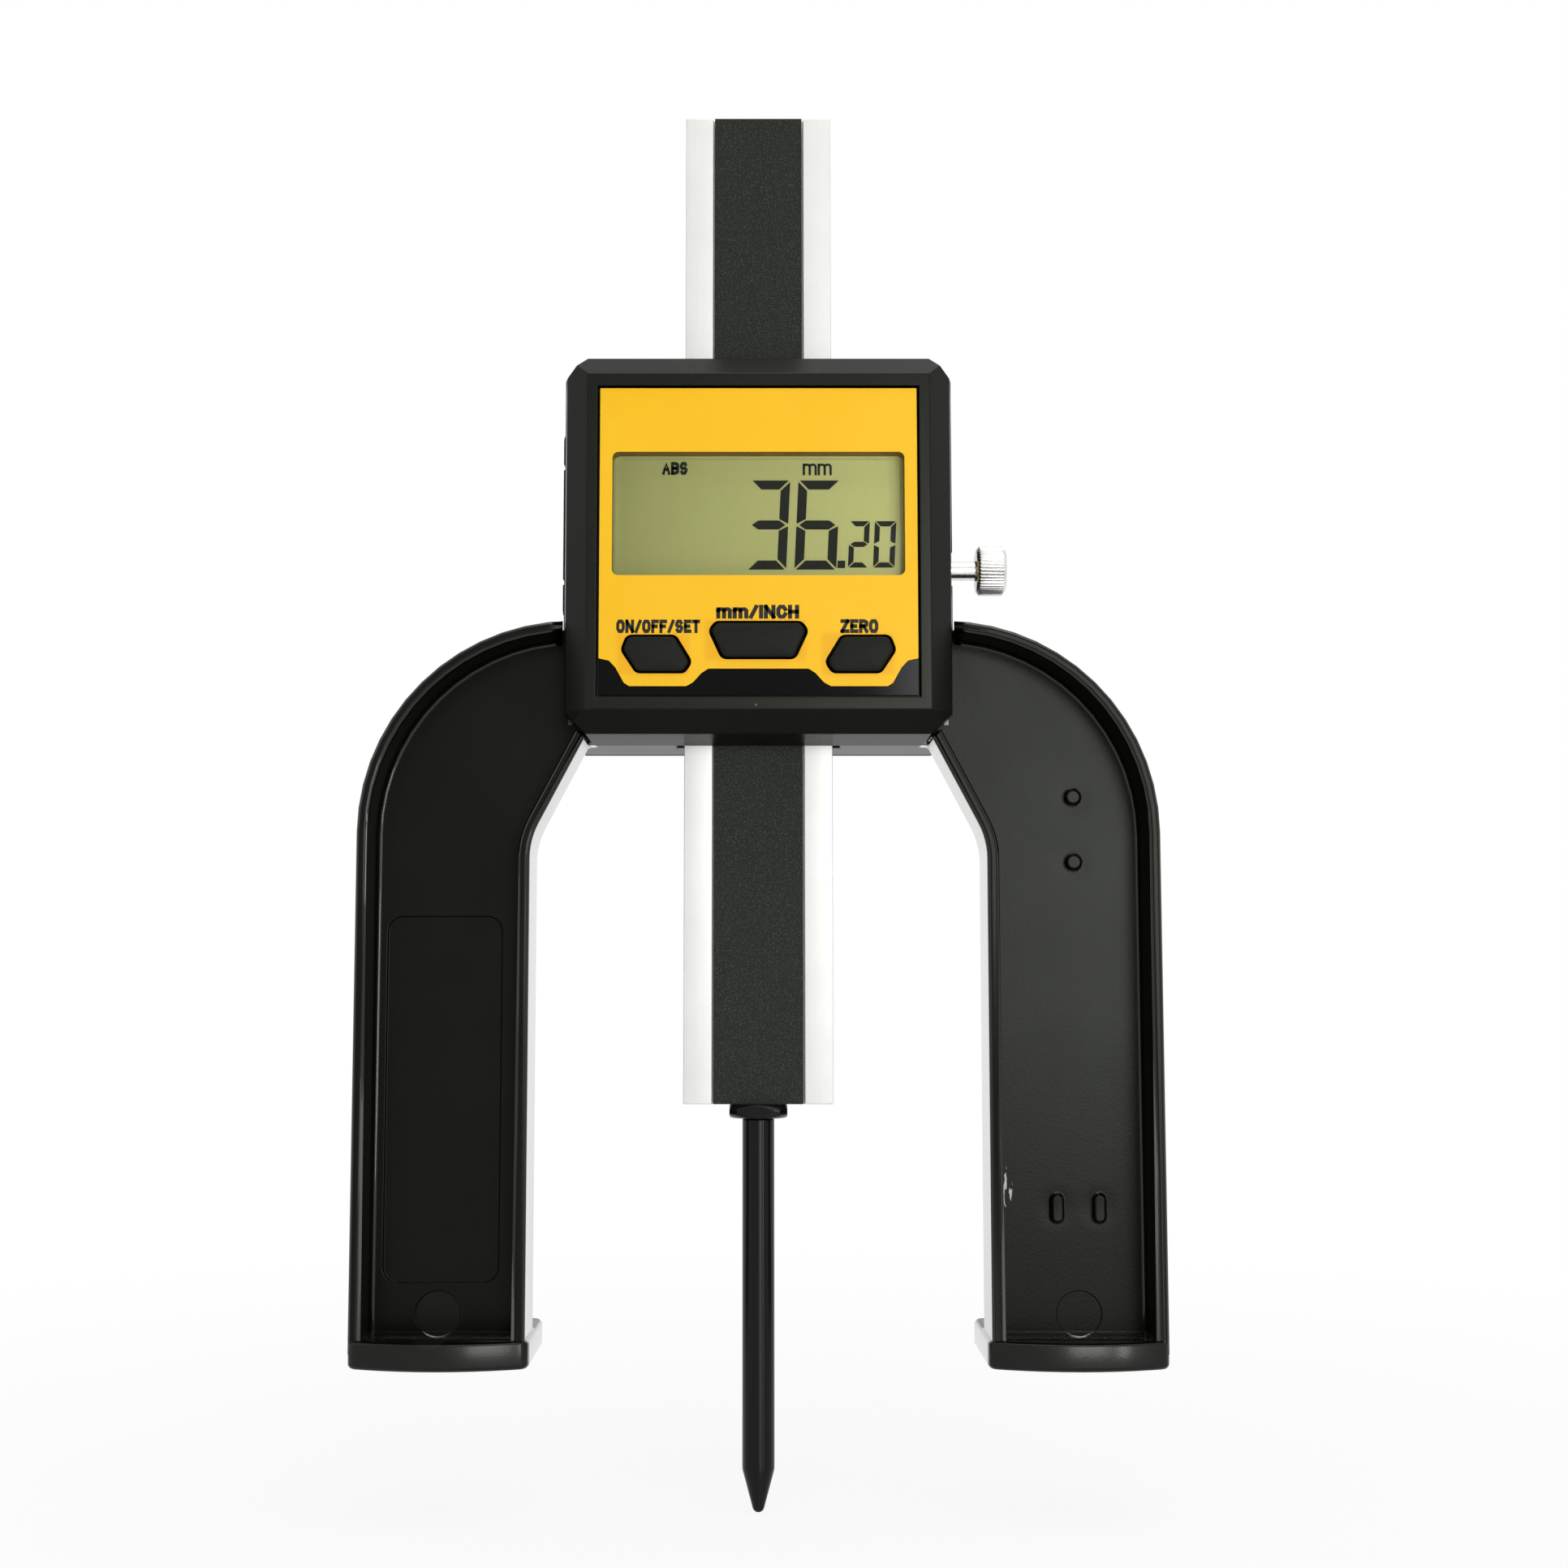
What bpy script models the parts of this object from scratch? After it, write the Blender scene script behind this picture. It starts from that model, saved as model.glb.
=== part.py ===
"""Digital depth gauge on an arched stand.

A display head sits on an arch with two feet. A flat aluminium rail with a dark
scale strip slides up and down through the head and carries a probe rod at its
lower end. A knurled thumbscrew on the right locks the rail, three rubber
buttons sit under the display, and a drawer on the left holds a coin cell.

Metres, +Z up, +X to the right of the display, the display faces -Y.
The origin is the tip of the probe, on the rail's middle plane.
"""
import bmesh
import bpy
from math import atan2, cos, pi, sin, tan
from mathutils import Vector

# Fits and cutting
CLEAR = 0.0003            # gap between pieces that seat on each other
OVERRUN = 0.001           # how far a cutter runs past the face it opens
ARC_STEPS = 6             # segments in a small fillet
SHOULDER_STEPS = 14       # segments in each big shoulder of the arch
ROUND_SIDES = 24          # sides of a plain round piece
SMALL_SIDES = 12          # sides of a small fastener, hole or pin
FINE_SIDES = 48           # sides of the coin cell and its pocket
FILLET_REACH_SHARE = 0.45  # most that a fillet takes of a side of its corner
SOFT_EDGE = 0.6           # radians past which an edge on a round piece is sharp
HARD_EDGE = 0.3           # the same on a flat piece

# Rail, its scale strip and the probe
RAIL_WIDTH = 0.0199
RAIL_THICKNESS = 0.003
RAIL_LENGTH = 0.1349
RAIL_BOTTOM_HEIGHT = 0.033      # rail's lower end above the soles, as stored
STRIP_GROOVE_WIDTH = 0.01235
STRIP_SIDE_GAP = 0.0002
STRIP_THICKNESS = 0.0004
PROBE_REACH = 0.0199            # how far the tip stands below the soles, as stored
PROBE_RADIUS = 0.00213
PROBE_TIP_RADIUS = 0.0008
PROBE_TIP_FLAT = 0.0004         # radius of the tip's flat end
PROBE_TIP_ROUND = 0.0004
PROBE_TAPER = 0.0056
STUD_RADIUS = 0.0009
STUD_GRIP = 0.008               # length of the stud inside the rail
NUT_WIDTH = 0.00765
NUT_CORNER_CUT = 0.001
NUT_THICKNESS = 0.0016
NUT_BEVEL = 0.00025
STOP_HEAD_RADIUS = 0.0015
STOP_HEAD_THICKNESS = 0.0009
STOP_HEAD_BEVEL = 0.0004
STOP_SHANK_RADIUS = 0.0006
STOP_FROM_END = 0.0021          # centre of the stop screws below the rail's top
STOP_SPACING = 0.0114

# Arch and legs
ARCH_WIDTH = 0.1049
ARCH_TOP_HEIGHT = 0.0965
SHOULDER_RADIUS = 0.0279
LEG_WIDTH = 0.02265
GAP_SHOULDER_DROP = 0.0289      # from the arch's top to where the gap's slanted top meets the leg
GAP_TOP_INSET = 0.0069          # from the leg in to where the slant meets the head
GAP_BLEND_RADIUS = 0.010
RIM_FRONT = 0.009               # rim's front plane, before the rail's middle
RIM_WALL = 0.0016
RIM_EDGE = 0.0004               # bevel along both front edges of the rim
WEB_FILLET = 0.0004             # slope between the rim's wall and the web
SEAT_FRONT = 0.0015             # web and seat plane, before the rail's middle
WEB_BACK = 0.001
WEB_DETAIL_OFFSET = 0.0009      # marks, pins and ribs, out from the leg's middle
WEB_POCKET_OFFSET = 0.0006
WEB_POCKET_WIDTH = 0.0152       # shallow recess in the left web
WEB_POCKET_LOW = 0.0098         # above the soles
WEB_POCKET_DROP = 0.0387        # its top below the arch's top
WEB_POCKET_DEPTH = 0.0004
WEB_POCKET_RADIUS = 0.002
WEB_MARK_RADIUS = 0.003         # round mark low on each web
WEB_MARK_HEIGHT = 0.0058
WEB_MARK_DEPTH = 0.0002
PIN_RADIUS = 0.00105            # two round pins high on the right web
PIN_PROUD = 0.0012
PIN_DROPS = (0.0315, 0.0228)    # below the arch's top
RIB_WIDTH = 0.0016              # two upright ribs low on the right web
RIB_LENGTH = 0.0037
RIB_HEIGHT = 0.0195
RIB_SPACING = 0.00555

# Feet
FOOT_WIDTH = 0.0232
FOOT_DEPTH = 0.023
FOOT_THICKNESS = 0.0036
FOOT_CORNER_RADIUS = 0.0016
FOOT_BULGE = 0.0024
FOOT_BOW_STEPS = 10             # segments in the bowed front and back
FOOT_EDGE = 0.0004              # bevel round its top and its sole
FOOT_FLOOR = 0.0016             # hollow's floor above the soles, behind the foot's front lip
FOOT_LIP = 0.0004               # lip's inner face behind the rim's front
GUSSET_THICKNESS = 0.0016
GUSSET_HEIGHT = 0.013
GUSSET_SPACING = 0.013
MAGNET_RADIUS = 0.003
MAGNET_THICKNESS = 0.0022
MAGNET_SPACING = 0.012
MAGNET_SUNK = 0.0001
MAGNET_SETBACK = 0.0045         # magnets' centres behind the rail's middle

# Rear body of the head, one moulding with the arch
HEAD_RISE = 0.01005             # centre of the head above the arch's top
BODY_WIDTH = 0.0526
BODY_HEIGHT = 0.0516
BODY_BACK = 0.0105              # its open back, behind the rail's middle
BODY_DRAFT = 0.0006             # each side narrows this much towards the back
BODY_CORNER_CUT = 0.0014
BODY_WALL = 0.0018
CHANNEL_FLOOR_WALL = 0.0016
GUIDE_THICKNESS = 0.0004
GUIDE_DEPTH = 0.0027

# Front cover
COVER_SIDE_STEP = 0.00015       # cover's back edge inside the body's side
COVER_END_STEP = 0.0001         # cover's back edge past the body's top and bottom
COVER_FRONT = 0.012
COVER_SLOPE_WIDTH = 0.0029
COVER_SLOPE_DEPTH = 0.003
COVER_FLARE = 0.00075           # each side widens this much towards the seat
COVER_CORNER_CUT = 0.0027
COVER_WALL = 0.0016
COVER_FRONT_WALL = 0.0012
PANEL_SIDE_BORDER = 0.0014      # flat rim of the cover beside the panel
PANEL_END_BORDER = 0.001625     # above and below it
PANEL_RECESS = 0.0015
PANEL_THICKNESS = 0.0006
LABEL_THICKNESS = 0.00015
LABEL_GAP = 0.0002

# Display
WINDOW_SIDE_MARGIN = 0.00195    # from the panel's edges
WINDOW_TOP_MARGIN = 0.008825
WINDOW_BOTTOM_MARGIN = 0.016025
WINDOW_CORNER_RADIUS = 0.0008
LENS_THICKNESS = 0.001
LCD_SIDE_MARGIN = 0.00135       # glass past the window's edges
LCD_END_MARGIN = 0.0028
LCD_THICKNESS = 0.0016
ZEBRA_BOSS_GAP = 0.0004         # from the strip's end to the lock boss
ZEBRA_THICKNESS = 0.0016
ZEBRA_INSET = 0.0009            # strip's centre inside the glass's edge

# Circuit board
BOARD_BOSS_GAP = 0.0004         # from the board's side to the case bosses
BOARD_EDGE_GAP = 0.00055        # from its ends to the cover's wall
BOARD_THICKNESS = 0.001
BOARD_SCREW_INSET_X = 0.0025
BOARD_SCREW_INSET_Z = 0.0024
BOARD_SCREW_RADIUS = 0.0006
BOARD_SCREW_GRIP = 0.0022
BOARD_SCREW_HEAD_RADIUS = 0.0013
BOARD_SCREW_HEAD_THICKNESS = 0.0007
CHIP_SIZE = 0.007
CHIP_THICKNESS = 0.001
CHIP_CORNER_CUT = 0.0005
CRYSTAL_RADIUS = 0.001
CRYSTAL_LENGTH = 0.0045
CRYSTAL_OFFSET = 0.0075

# Buttons
SIDE_BUTTON_MARGIN = 0.00345    # from the panel's side to the side button
BUTTON_GAP = 0.00265            # from the side button to the centre button
SIDE_BUTTON_HEIGHT = 0.0045
SIDE_BUTTON_RISE = 0.005625     # its middle above the panel's bottom
CENTRE_BUTTON_WIDTH = 0.0125
CENTRE_BUTTON_HEIGHT = 0.00445
CENTRE_BUTTON_RISE = 0.007455
BUTTON_CORNER_RADIUS = 0.0008
BUTTON_PROUD = 0.0005           # dome's top before the cover's rim
BUTTON_DOME = 0.0006
BUTTON_DOME_INSET = 0.0009
BUTTON_LIP = 0.0007
BUTTON_LIP_THICKNESS = 0.0008
BUTTON_TRAVEL = 0.0006
PLUNGER_RADIUS = 0.0015
PLUNGER_END_GAP = 0.0001
SNAP_DOME_RADIUS = 0.002
SNAP_DOME_THICKNESS = 0.0004
# a button's domed top: depth as shares of BUTTON_DOME, and inset as shares of BUTTON_DOME_INSET
BUTTON_DOME_SHARES = ((0, 2), (0.125, 1), (0.5, 0.33), (1, 0))
# outline points as shares of a button's width and height
SIDE_BUTTON_SHARES = (
    (-0.426, 0.5), (-0.5, 0.122), (-0.289, -0.5),
    (0.408, -0.5), (0.5, -0.233), (0.271, 0.5))
CENTRE_BUTTON_SHARES = (
    (-0.44, 0.5), (-0.5, 0.28), (-0.372, -0.5),
    (0.372, -0.5), (0.5, 0.28), (0.44, 0.5))
# lower edge of the coloured label, from the middle out: shares of the panel's
# half width, and of its height above its bottom
LABEL_EDGE_SHARES = (
    (0.3125, 0.0836), (0.356, 0.0694), (0.409, 0.0394), (0.452, 0.0271),
    (0.808, 0.0271), (0.841, 0.0381), (0.894, 0.0873), (0.935, 0.1095), (1.0, 0.1169))

# Lock: screw, brass insert and shoe
LOCK_DROP = 0.0018              # screw's axis below the head's centre
LOCK_SHANK_RADIUS = 0.0013
LOCK_SHANK_BEVEL = 0.0003
LOCK_HEAD_RADIUS = 0.00334
LOCK_HEAD_LENGTH = 0.0039
LOCK_HEAD_GAP = 0.0033          # bare shank between the body and the head
LOCK_HEAD_BEVEL = 0.0004
LOCK_TEETH = 36
LOCK_TOOTH_DEPTH = 0.00022
INSERT_RADIUS = 0.0024
INSERT_LENGTH = 0.0064
SHOE_RADIUS = 0.0016
SHOE_LENGTH = 0.0043
SHOE_BEVEL = 0.0004
BOSS_WALL = 0.0012

# Battery drawer
DRAWER_DROP = 0.0204            # drawer's middle below the body's top
DRAWER_FACE_HEIGHT = 0.0251
DRAWER_FACE_DEPTH = 0.0066
DRAWER_FACE_THICKNESS = 0.0013
DRAWER_PROUD = 0.0006
DRAWER_CORNER_CUT = 0.0007
DRAWER_NOTCH_WIDTH = 0.0007
DRAWER_NOTCH_DEPTH = 0.0004
DRAWER_NOTCH_SPACING = 0.0161
DRAWER_FRONT = 0.0042           # tray's front face, behind the rail's middle
DRAWER_TRAY_DEPTH = 0.0047
TRAY_WALL = 0.0011
CELL_RADIUS = 0.01
CELL_THICKNESS = 0.0032
CELL_CROWN_RADIUS = 0.0088
CELL_CROWN = 0.0003
CELL_SUNK = 0.0002
CONTACT_THICKNESS = 0.0003
CONTACT_WIDTH = 0.003
CONTACT_FACE_GAP = 0.00185      # from the drawer's face to the leaf's outer end
CONTACT_END = 0.0015            # contact's inner end beyond the channel's edge

# Rear cover and the case screws
REAR_COVER_THICKNESS = 0.0017
REAR_COVER_BEVEL = 0.0006
CASE_SCREW_INSET_X = 0.005      # from the body's sides
CASE_SCREW_INSET_Z = 0.00435    # from its top and bottom
CASE_SCREW_RADIUS = 0.0009
CASE_SCREW_HEAD_RADIUS = 0.0018
CASE_SCREW_HEAD_THICKNESS = 0.0008
CASE_SCREW_GRIP = 0.0055        # length of the screw inside the front cover
CASE_BOSS_RADIUS = 0.0023
CROSS_WIDTH = 0.0005
CROSS_LENGTH = 0.0020
CROSS_DEPTH = 0.0004

# Places that follow from the sizes above
SOLE_Z = PROBE_REACH
ARCH_TOP_Z = SOLE_Z + ARCH_TOP_HEIGHT
HEAD_Z = ARCH_TOP_Z + HEAD_RISE
HALF_BODY = BODY_WIDTH / 2
BODY_BOTTOM_Z = HEAD_Z - BODY_HEIGHT / 2
BODY_TOP_Z = HEAD_Z + BODY_HEIGHT / 2
RAIL_BOTTOM_Z = SOLE_Z + RAIL_BOTTOM_HEIGHT
RAIL_TOP_Z = RAIL_BOTTOM_Z + RAIL_LENGTH
RAIL_FRONT_Y = -RAIL_THICKNESS / 2
CHANNEL_HALF = RAIL_WIDTH / 2 + CLEAR + GUIDE_THICKNESS + CLEAR
CHANNEL_BACK_Y = RAIL_THICKNESS / 2 + CLEAR
BOSS_INNER_X = CHANNEL_HALF + CLEAR
ZEBRA_LENGTH = 2 * (BOSS_INNER_X - ZEBRA_BOSS_GAP)
SEAT_Y = -SEAT_FRONT
COVER_WIDTH = BODY_WIDTH - 2 * (COVER_SIDE_STEP + COVER_FLARE)    # at the slope's outer edge
COVER_HEIGHT = BODY_HEIGHT + 2 * (COVER_END_STEP - COVER_FLARE)
COVER_BACK_Y = SEAT_Y - CLEAR
COVER_SLOPE_Y = -COVER_FRONT + COVER_SLOPE_DEPTH
PANEL_WIDTH = COVER_WIDTH - 2 * (COVER_SLOPE_WIDTH + PANEL_SIDE_BORDER)
PANEL_HEIGHT = COVER_HEIGHT - 2 * (COVER_SLOPE_WIDTH + PANEL_END_BORDER)
PANEL_FLOOR_Y = -COVER_FRONT + PANEL_RECESS
PANEL_BACK_Y = PANEL_FLOOR_Y - CLEAR
PANEL_FRONT_Y = PANEL_BACK_Y - PANEL_THICKNESS
COVER_CAVITY_Y = PANEL_FLOOR_Y + COVER_FRONT_WALL
WINDOW_WIDTH = PANEL_WIDTH - 2 * WINDOW_SIDE_MARGIN
WINDOW_HEIGHT = PANEL_HEIGHT - WINDOW_TOP_MARGIN - WINDOW_BOTTOM_MARGIN
WINDOW_Z = HEAD_Z + (WINDOW_BOTTOM_MARGIN - WINDOW_TOP_MARGIN) / 2
LCD_WIDTH = WINDOW_WIDTH + 2 * LCD_SIDE_MARGIN
LCD_HEIGHT = WINDOW_HEIGHT + 2 * LCD_END_MARGIN
LCD_FRONT_Y = COVER_CAVITY_Y + CLEAR
LCD_BACK_Y = LCD_FRONT_Y + LCD_THICKNESS
CASE_SCREW_X = BODY_WIDTH / 2 - CASE_SCREW_INSET_X
CASE_SCREW_RISE = BODY_HEIGHT / 2 - CASE_SCREW_INSET_Z
BOARD_WIDTH = 2 * (CASE_SCREW_X - CASE_BOSS_RADIUS - BOARD_BOSS_GAP)
BOARD_HEIGHT = COVER_HEIGHT - 2 * (COVER_WALL + BOARD_EDGE_GAP)
BOARD_SCREW_X = BOARD_WIDTH / 2 - BOARD_SCREW_INSET_X
BOARD_SCREW_RISE = BOARD_HEIGHT / 2 - BOARD_SCREW_INSET_Z
BOARD_BACK_Y = SEAT_Y - CLEAR
BOARD_FRONT_Y = BOARD_BACK_Y - BOARD_THICKNESS
SNAP_DOME_BACK_Y = BOARD_FRONT_Y - CLEAR
SNAP_DOME_FRONT_Y = SNAP_DOME_BACK_Y - SNAP_DOME_THICKNESS
SIDE_BUTTON_WIDTH = (PANEL_WIDTH - CENTRE_BUTTON_WIDTH) / 2 - SIDE_BUTTON_MARGIN - BUTTON_GAP
SIDE_BUTTON_X = PANEL_WIDTH / 2 - SIDE_BUTTON_MARGIN - SIDE_BUTTON_WIDTH / 2
SIDE_BUTTON_Z = HEAD_Z - PANEL_HEIGHT / 2 + SIDE_BUTTON_RISE
CENTRE_BUTTON_Z = HEAD_Z - PANEL_HEIGHT / 2 + CENTRE_BUTTON_RISE
LOCK_Z = HEAD_Z - LOCK_DROP
SHOE_BORE_RADIUS = SHOE_RADIUS + CLEAR
INSERT_BORE_RADIUS = INSERT_RADIUS + CLEAR
BOSS_HALF = INSERT_BORE_RADIUS + BOSS_WALL
INSERT_OUTER_X = HALF_BODY - CLEAR
INSERT_INNER_X = INSERT_OUTER_X - INSERT_LENGTH
SHOE_TIP_X = RAIL_WIDTH / 2 + CLEAR
SHOE_END_X = SHOE_TIP_X + SHOE_LENGTH
DRAWER_Z = BODY_TOP_Z - DRAWER_DROP
DRAWER_OUTER_X = -HALF_BODY - DRAWER_PROUD
DRAWER_FACE_BACK_X = DRAWER_OUTER_X + DRAWER_FACE_THICKNESS
CELL_POCKET_RADIUS = CELL_RADIUS + CLEAR
CELL_X = DRAWER_FACE_BACK_X + TRAY_WALL + CELL_POCKET_RADIUS
TRAY_END_X = CELL_X + CELL_POCKET_RADIUS + TRAY_WALL
TRAY_HALF_HEIGHT = CELL_POCKET_RADIUS + TRAY_WALL
TRAY_BACK_Y = DRAWER_FRONT + DRAWER_TRAY_DEPTH
REAR_COVER_FRONT_Y = BODY_BACK + CLEAR
REAR_COVER_BACK_Y = REAR_COVER_FRONT_Y + REAR_COVER_THICKNESS
LEG_CENTRE_X = ARCH_WIDTH / 2 - LEG_WIDTH / 2
WEB_DETAIL_X = LEG_CENTRE_X + WEB_DETAIL_OFFSET
FOOT_X = ARCH_WIDTH / 2 - FOOT_WIDTH / 2


# Outlines, as lists of (u, v)

def arc(centre_u, centre_v, radius, start, end, steps):
    """Points on an arc, both ends included."""
    points = []
    for step in range(steps + 1):
        angle = start + (end - start) * step / steps
        points.append((centre_u + radius * cos(angle), centre_v + radius * sin(angle)))
    return points


def rectangle(width, height, centre=(0, 0)):
    u, v = centre
    return [(u - width / 2, v - height / 2), (u + width / 2, v - height / 2),
            (u + width / 2, v + height / 2), (u - width / 2, v + height / 2)]


def fillet(points, radius, steps=ARC_STEPS, corners=None):
    """Round the corners of a closed outline, each limited by its shorter side."""
    rounded = []
    count = len(points)
    for index, (u, v) in enumerate(points):
        corner = Vector((u, v))
        if corners is not None and index not in corners:
            rounded.append((u, v))
            continue
        before = Vector(points[index - 1]) - corner
        after = Vector(points[(index + 1) % count]) - corner
        half = before.angle(after) / 2
        reach = min(radius / tan(half), FILLET_REACH_SHARE * min(before.length, after.length))
        limited = reach * tan(half)
        centre = corner + (before.normalized() + after.normalized()).normalized() * (limited / sin(half))
        first = corner + before.normalized() * reach - centre
        last = corner + after.normalized() * reach - centre
        start = atan2(first.y, first.x)
        turn = atan2(last.y, last.x) - start
        turn = (turn + pi) % (2 * pi) - pi
        rounded.extend(arc(centre.x, centre.y, limited, start, start + turn, steps))
    return rounded


def inset(points, distance):
    """Move every side of a closed outline inwards by the same distance."""
    count = len(points)
    area = sum(points[i - 1][0] * points[i][1] - points[i][0] * points[i - 1][1] for i in range(count))
    side = 1 if area > 0 else -1
    moved = []
    for index in range(count):
        corner = Vector(points[index])
        along_in = (corner - Vector(points[index - 1])).normalized()
        along_out = (Vector(points[(index + 1) % count]) - corner).normalized()
        normal_in = Vector((-along_in.y, along_in.x)) * side
        normal_out = Vector((-along_out.y, along_out.x)) * side
        middle = normal_in + normal_out
        shift = middle * (2 * distance / middle.length_squared)
        moved.append((corner.x + shift.x, corner.y + shift.y))
    return moved


def scaled_outline(shares, width, height, centre):
    return [(centre[0] + u * width, centre[1] + v * height) for u, v in shares]


# Solids, as bmesh pieces

def loft(rings):
    """Skin closed rings of equal count, capped at both ends."""
    bm = bmesh.new()
    loops = [[bm.verts.new(point) for point in ring] for ring in rings]
    for lower, upper in zip(loops, loops[1:]):
        for index in range(len(lower)):
            other = (index + 1) % len(lower)
            bm.faces.new((lower[index], lower[other], upper[other], upper[index]))
    bm.faces.new(loops[0])
    bm.faces.new(loops[-1])
    bmesh.ops.recalc_face_normals(bm, faces=bm.faces)
    return bm


def on_axis(axis, u, v, along):
    """Point of an outline that stands square to the named axis."""
    if axis == "X":
        return (along, u, v)
    if axis == "Y":
        return (u, along, v)
    return (u, v, along)


def stacked(stations, axis="Y"):
    """Loft (along, outline) pairs of equal count, each at its place on the named axis."""
    return loft([[on_axis(axis, u, v, along) for u, v in outline] for along, outline in stations])


def prism(outline, low, high, axis="Y"):
    return stacked([(low, outline), (high, outline)], axis)


def turned(profile, axis, centre=(0, 0), sides=ROUND_SIDES):
    """Turn (radius, along) pairs about an axis through centre."""
    rings = []
    for radius, along in profile:
        circle = arc(centre[0], centre[1], radius, 0, 2 * pi, sides)[:-1]
        rings.append([on_axis(axis, u, v, along) for u, v in circle])
    return loft(rings)


def block(low, high):
    outline = [(low[0], low[2]), (high[0], low[2]), (high[0], high[2]), (low[0], high[2])]
    return prism(outline, low[1], high[1])


def material(name, color, roughness, metallic=0.0, alpha=1.0):
    made = bpy.data.materials.new(name)
    made.use_nodes = True
    shader = made.node_tree.nodes["Principled BSDF"]
    shader.inputs["Base Color"].default_value = (*color, 1.0)
    shader.inputs["Roughness"].default_value = roughness
    shader.inputs["Metallic"].default_value = metallic
    shader.inputs["Alpha"].default_value = alpha
    made.diffuse_color = (*color, alpha)
    return made


def mesh_object(name, pieces):
    """Join bmesh pieces into one named object."""
    mesh = bpy.data.meshes.new(name)
    joined = bmesh.new()
    for piece in pieces:
        piece.to_mesh(mesh)
        joined.from_mesh(mesh)
        piece.free()
    joined.to_mesh(mesh)
    joined.free()
    made = bpy.data.objects.new(name, mesh)
    bpy.context.scene.collection.objects.link(made)
    return made


def apply_boolean(target, pieces, operation):
    """Cut or join each bmesh piece, one after another."""
    for piece in pieces:
        tool = mesh_object("tool", [piece])
        step = target.modifiers.new(operation.title(), "BOOLEAN")
        step.operation = operation
        step.solver = "EXACT"
        step.object = tool
        bpy.context.view_layer.update()
        evaluated = target.evaluated_get(bpy.context.evaluated_depsgraph_get())
        result = bpy.data.meshes.new_from_object(evaluated)
        target.modifiers.remove(step)
        old = target.data
        target.data = result
        bpy.data.meshes.remove(old)
        bpy.data.objects.remove(tool, do_unlink=True)


def finish(target, look, parent, sharp_angle=SOFT_EDGE):
    """Name the mesh, shade it and hang it on its body's empty without moving it."""
    target.data.name = target.name
    target.data.materials.clear()
    target.data.materials.append(look)
    target.data.shade_smooth()
    target.data.set_sharp_from_angle(angle=sharp_angle)
    origin = Vector(parent.location)
    for vertex in target.data.vertices:
        vertex.co -= origin
    target.parent = parent
    return target


def body_empty(name, location, parent=None):
    """An empty on a moving body's axis."""
    empty = bpy.data.objects.new(name, None)
    empty.empty_display_size = RAIL_WIDTH
    bpy.context.scene.collection.objects.link(empty)
    empty.location = location
    if parent is not None:
        empty.parent = parent
    return empty


# The arch with its legs, feet and the rear body of the head

def leg_outline(bottom_height, inner_x):
    """One leg and its shoulder on the right, counter-clockwise from its inner foot."""
    outer_x = ARCH_WIDTH / 2
    gap_x = outer_x - LEG_WIDTH
    shoulder_x = outer_x - SHOULDER_RADIUS
    shoulder_z = ARCH_TOP_Z - SHOULDER_RADIUS
    points = [(gap_x, SOLE_Z + bottom_height), (outer_x, SOLE_Z + bottom_height)]
    points += arc(shoulder_x, shoulder_z, SHOULDER_RADIUS, 0, pi / 2, SHOULDER_STEPS)
    points += [(inner_x, ARCH_TOP_Z), (inner_x, BODY_BOTTOM_Z)]
    blend = fillet([(gap_x - GAP_TOP_INSET, BODY_BOTTOM_Z), (gap_x, ARCH_TOP_Z - GAP_SHOULDER_DROP),
                    (gap_x, SOLE_Z + bottom_height)], GAP_BLEND_RADIUS, corners=(1,))
    return points + blend[:-1]


def arch_outline():
    """Both legs and the bridge between them, down to half-way into the feet."""
    right = leg_outline(FOOT_THICKNESS / 2, 0)
    cut = [index for index, (u, v) in enumerate(right) if u == 0]
    outer = right[1:cut[0]]
    inner = right[cut[-1] + 1:] + right[:1]
    left_outer = [(-u, v) for u, v in reversed(outer)]
    left_inner = [(-u, v) for u, v in reversed(inner)]
    return outer + left_outer + left_inner + inner


def leg_channel(side):
    """Hollow of a leg's front: bevelled at the rim and sloped at the web, with a rim all round."""
    leg = [(side * u, v) for u, v in leg_outline(FOOT_THICKNESS - RIM_WALL, RIM_WALL)]
    lip = inset(leg, RIM_WALL - RIM_EDGE)
    wall = inset(leg, RIM_WALL)
    floor = inset(leg, RIM_WALL + WEB_FILLET)
    return stacked([(-RIM_FRONT - OVERRUN, lip), (-RIM_FRONT, lip), (-RIM_FRONT + RIM_EDGE, wall),
                    (SEAT_Y - WEB_FILLET, wall), (SEAT_Y, floor)])


def foot_outline(centre_x):
    """Foot seen from above, its front and back bowed out a little."""
    half_depth = FOOT_DEPTH / 2
    bow = FOOT_BOW_STEPS
    plain = []
    for sign in (-1, 1):
        for step in range(bow + 1):
            share = -1 + 2 * step / bow
            plain.append((centre_x - sign * share * FOOT_WIDTH / 2,
                          sign * (half_depth - FOOT_BULGE * share * share)))
    return fillet(plain, FOOT_CORNER_RADIUS, corners=(0, bow, bow + 1, 2 * bow + 1))


def foot_form(centre_x):
    outline = foot_outline(centre_x)
    edge = inset(outline, FOOT_EDGE)
    top = SOLE_Z + FOOT_THICKNESS
    return stacked([(SOLE_Z, edge), (SOLE_Z + FOOT_EDGE, outline), (top - FOOT_EDGE, outline),
                    (top, edge)], "Z")


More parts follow.
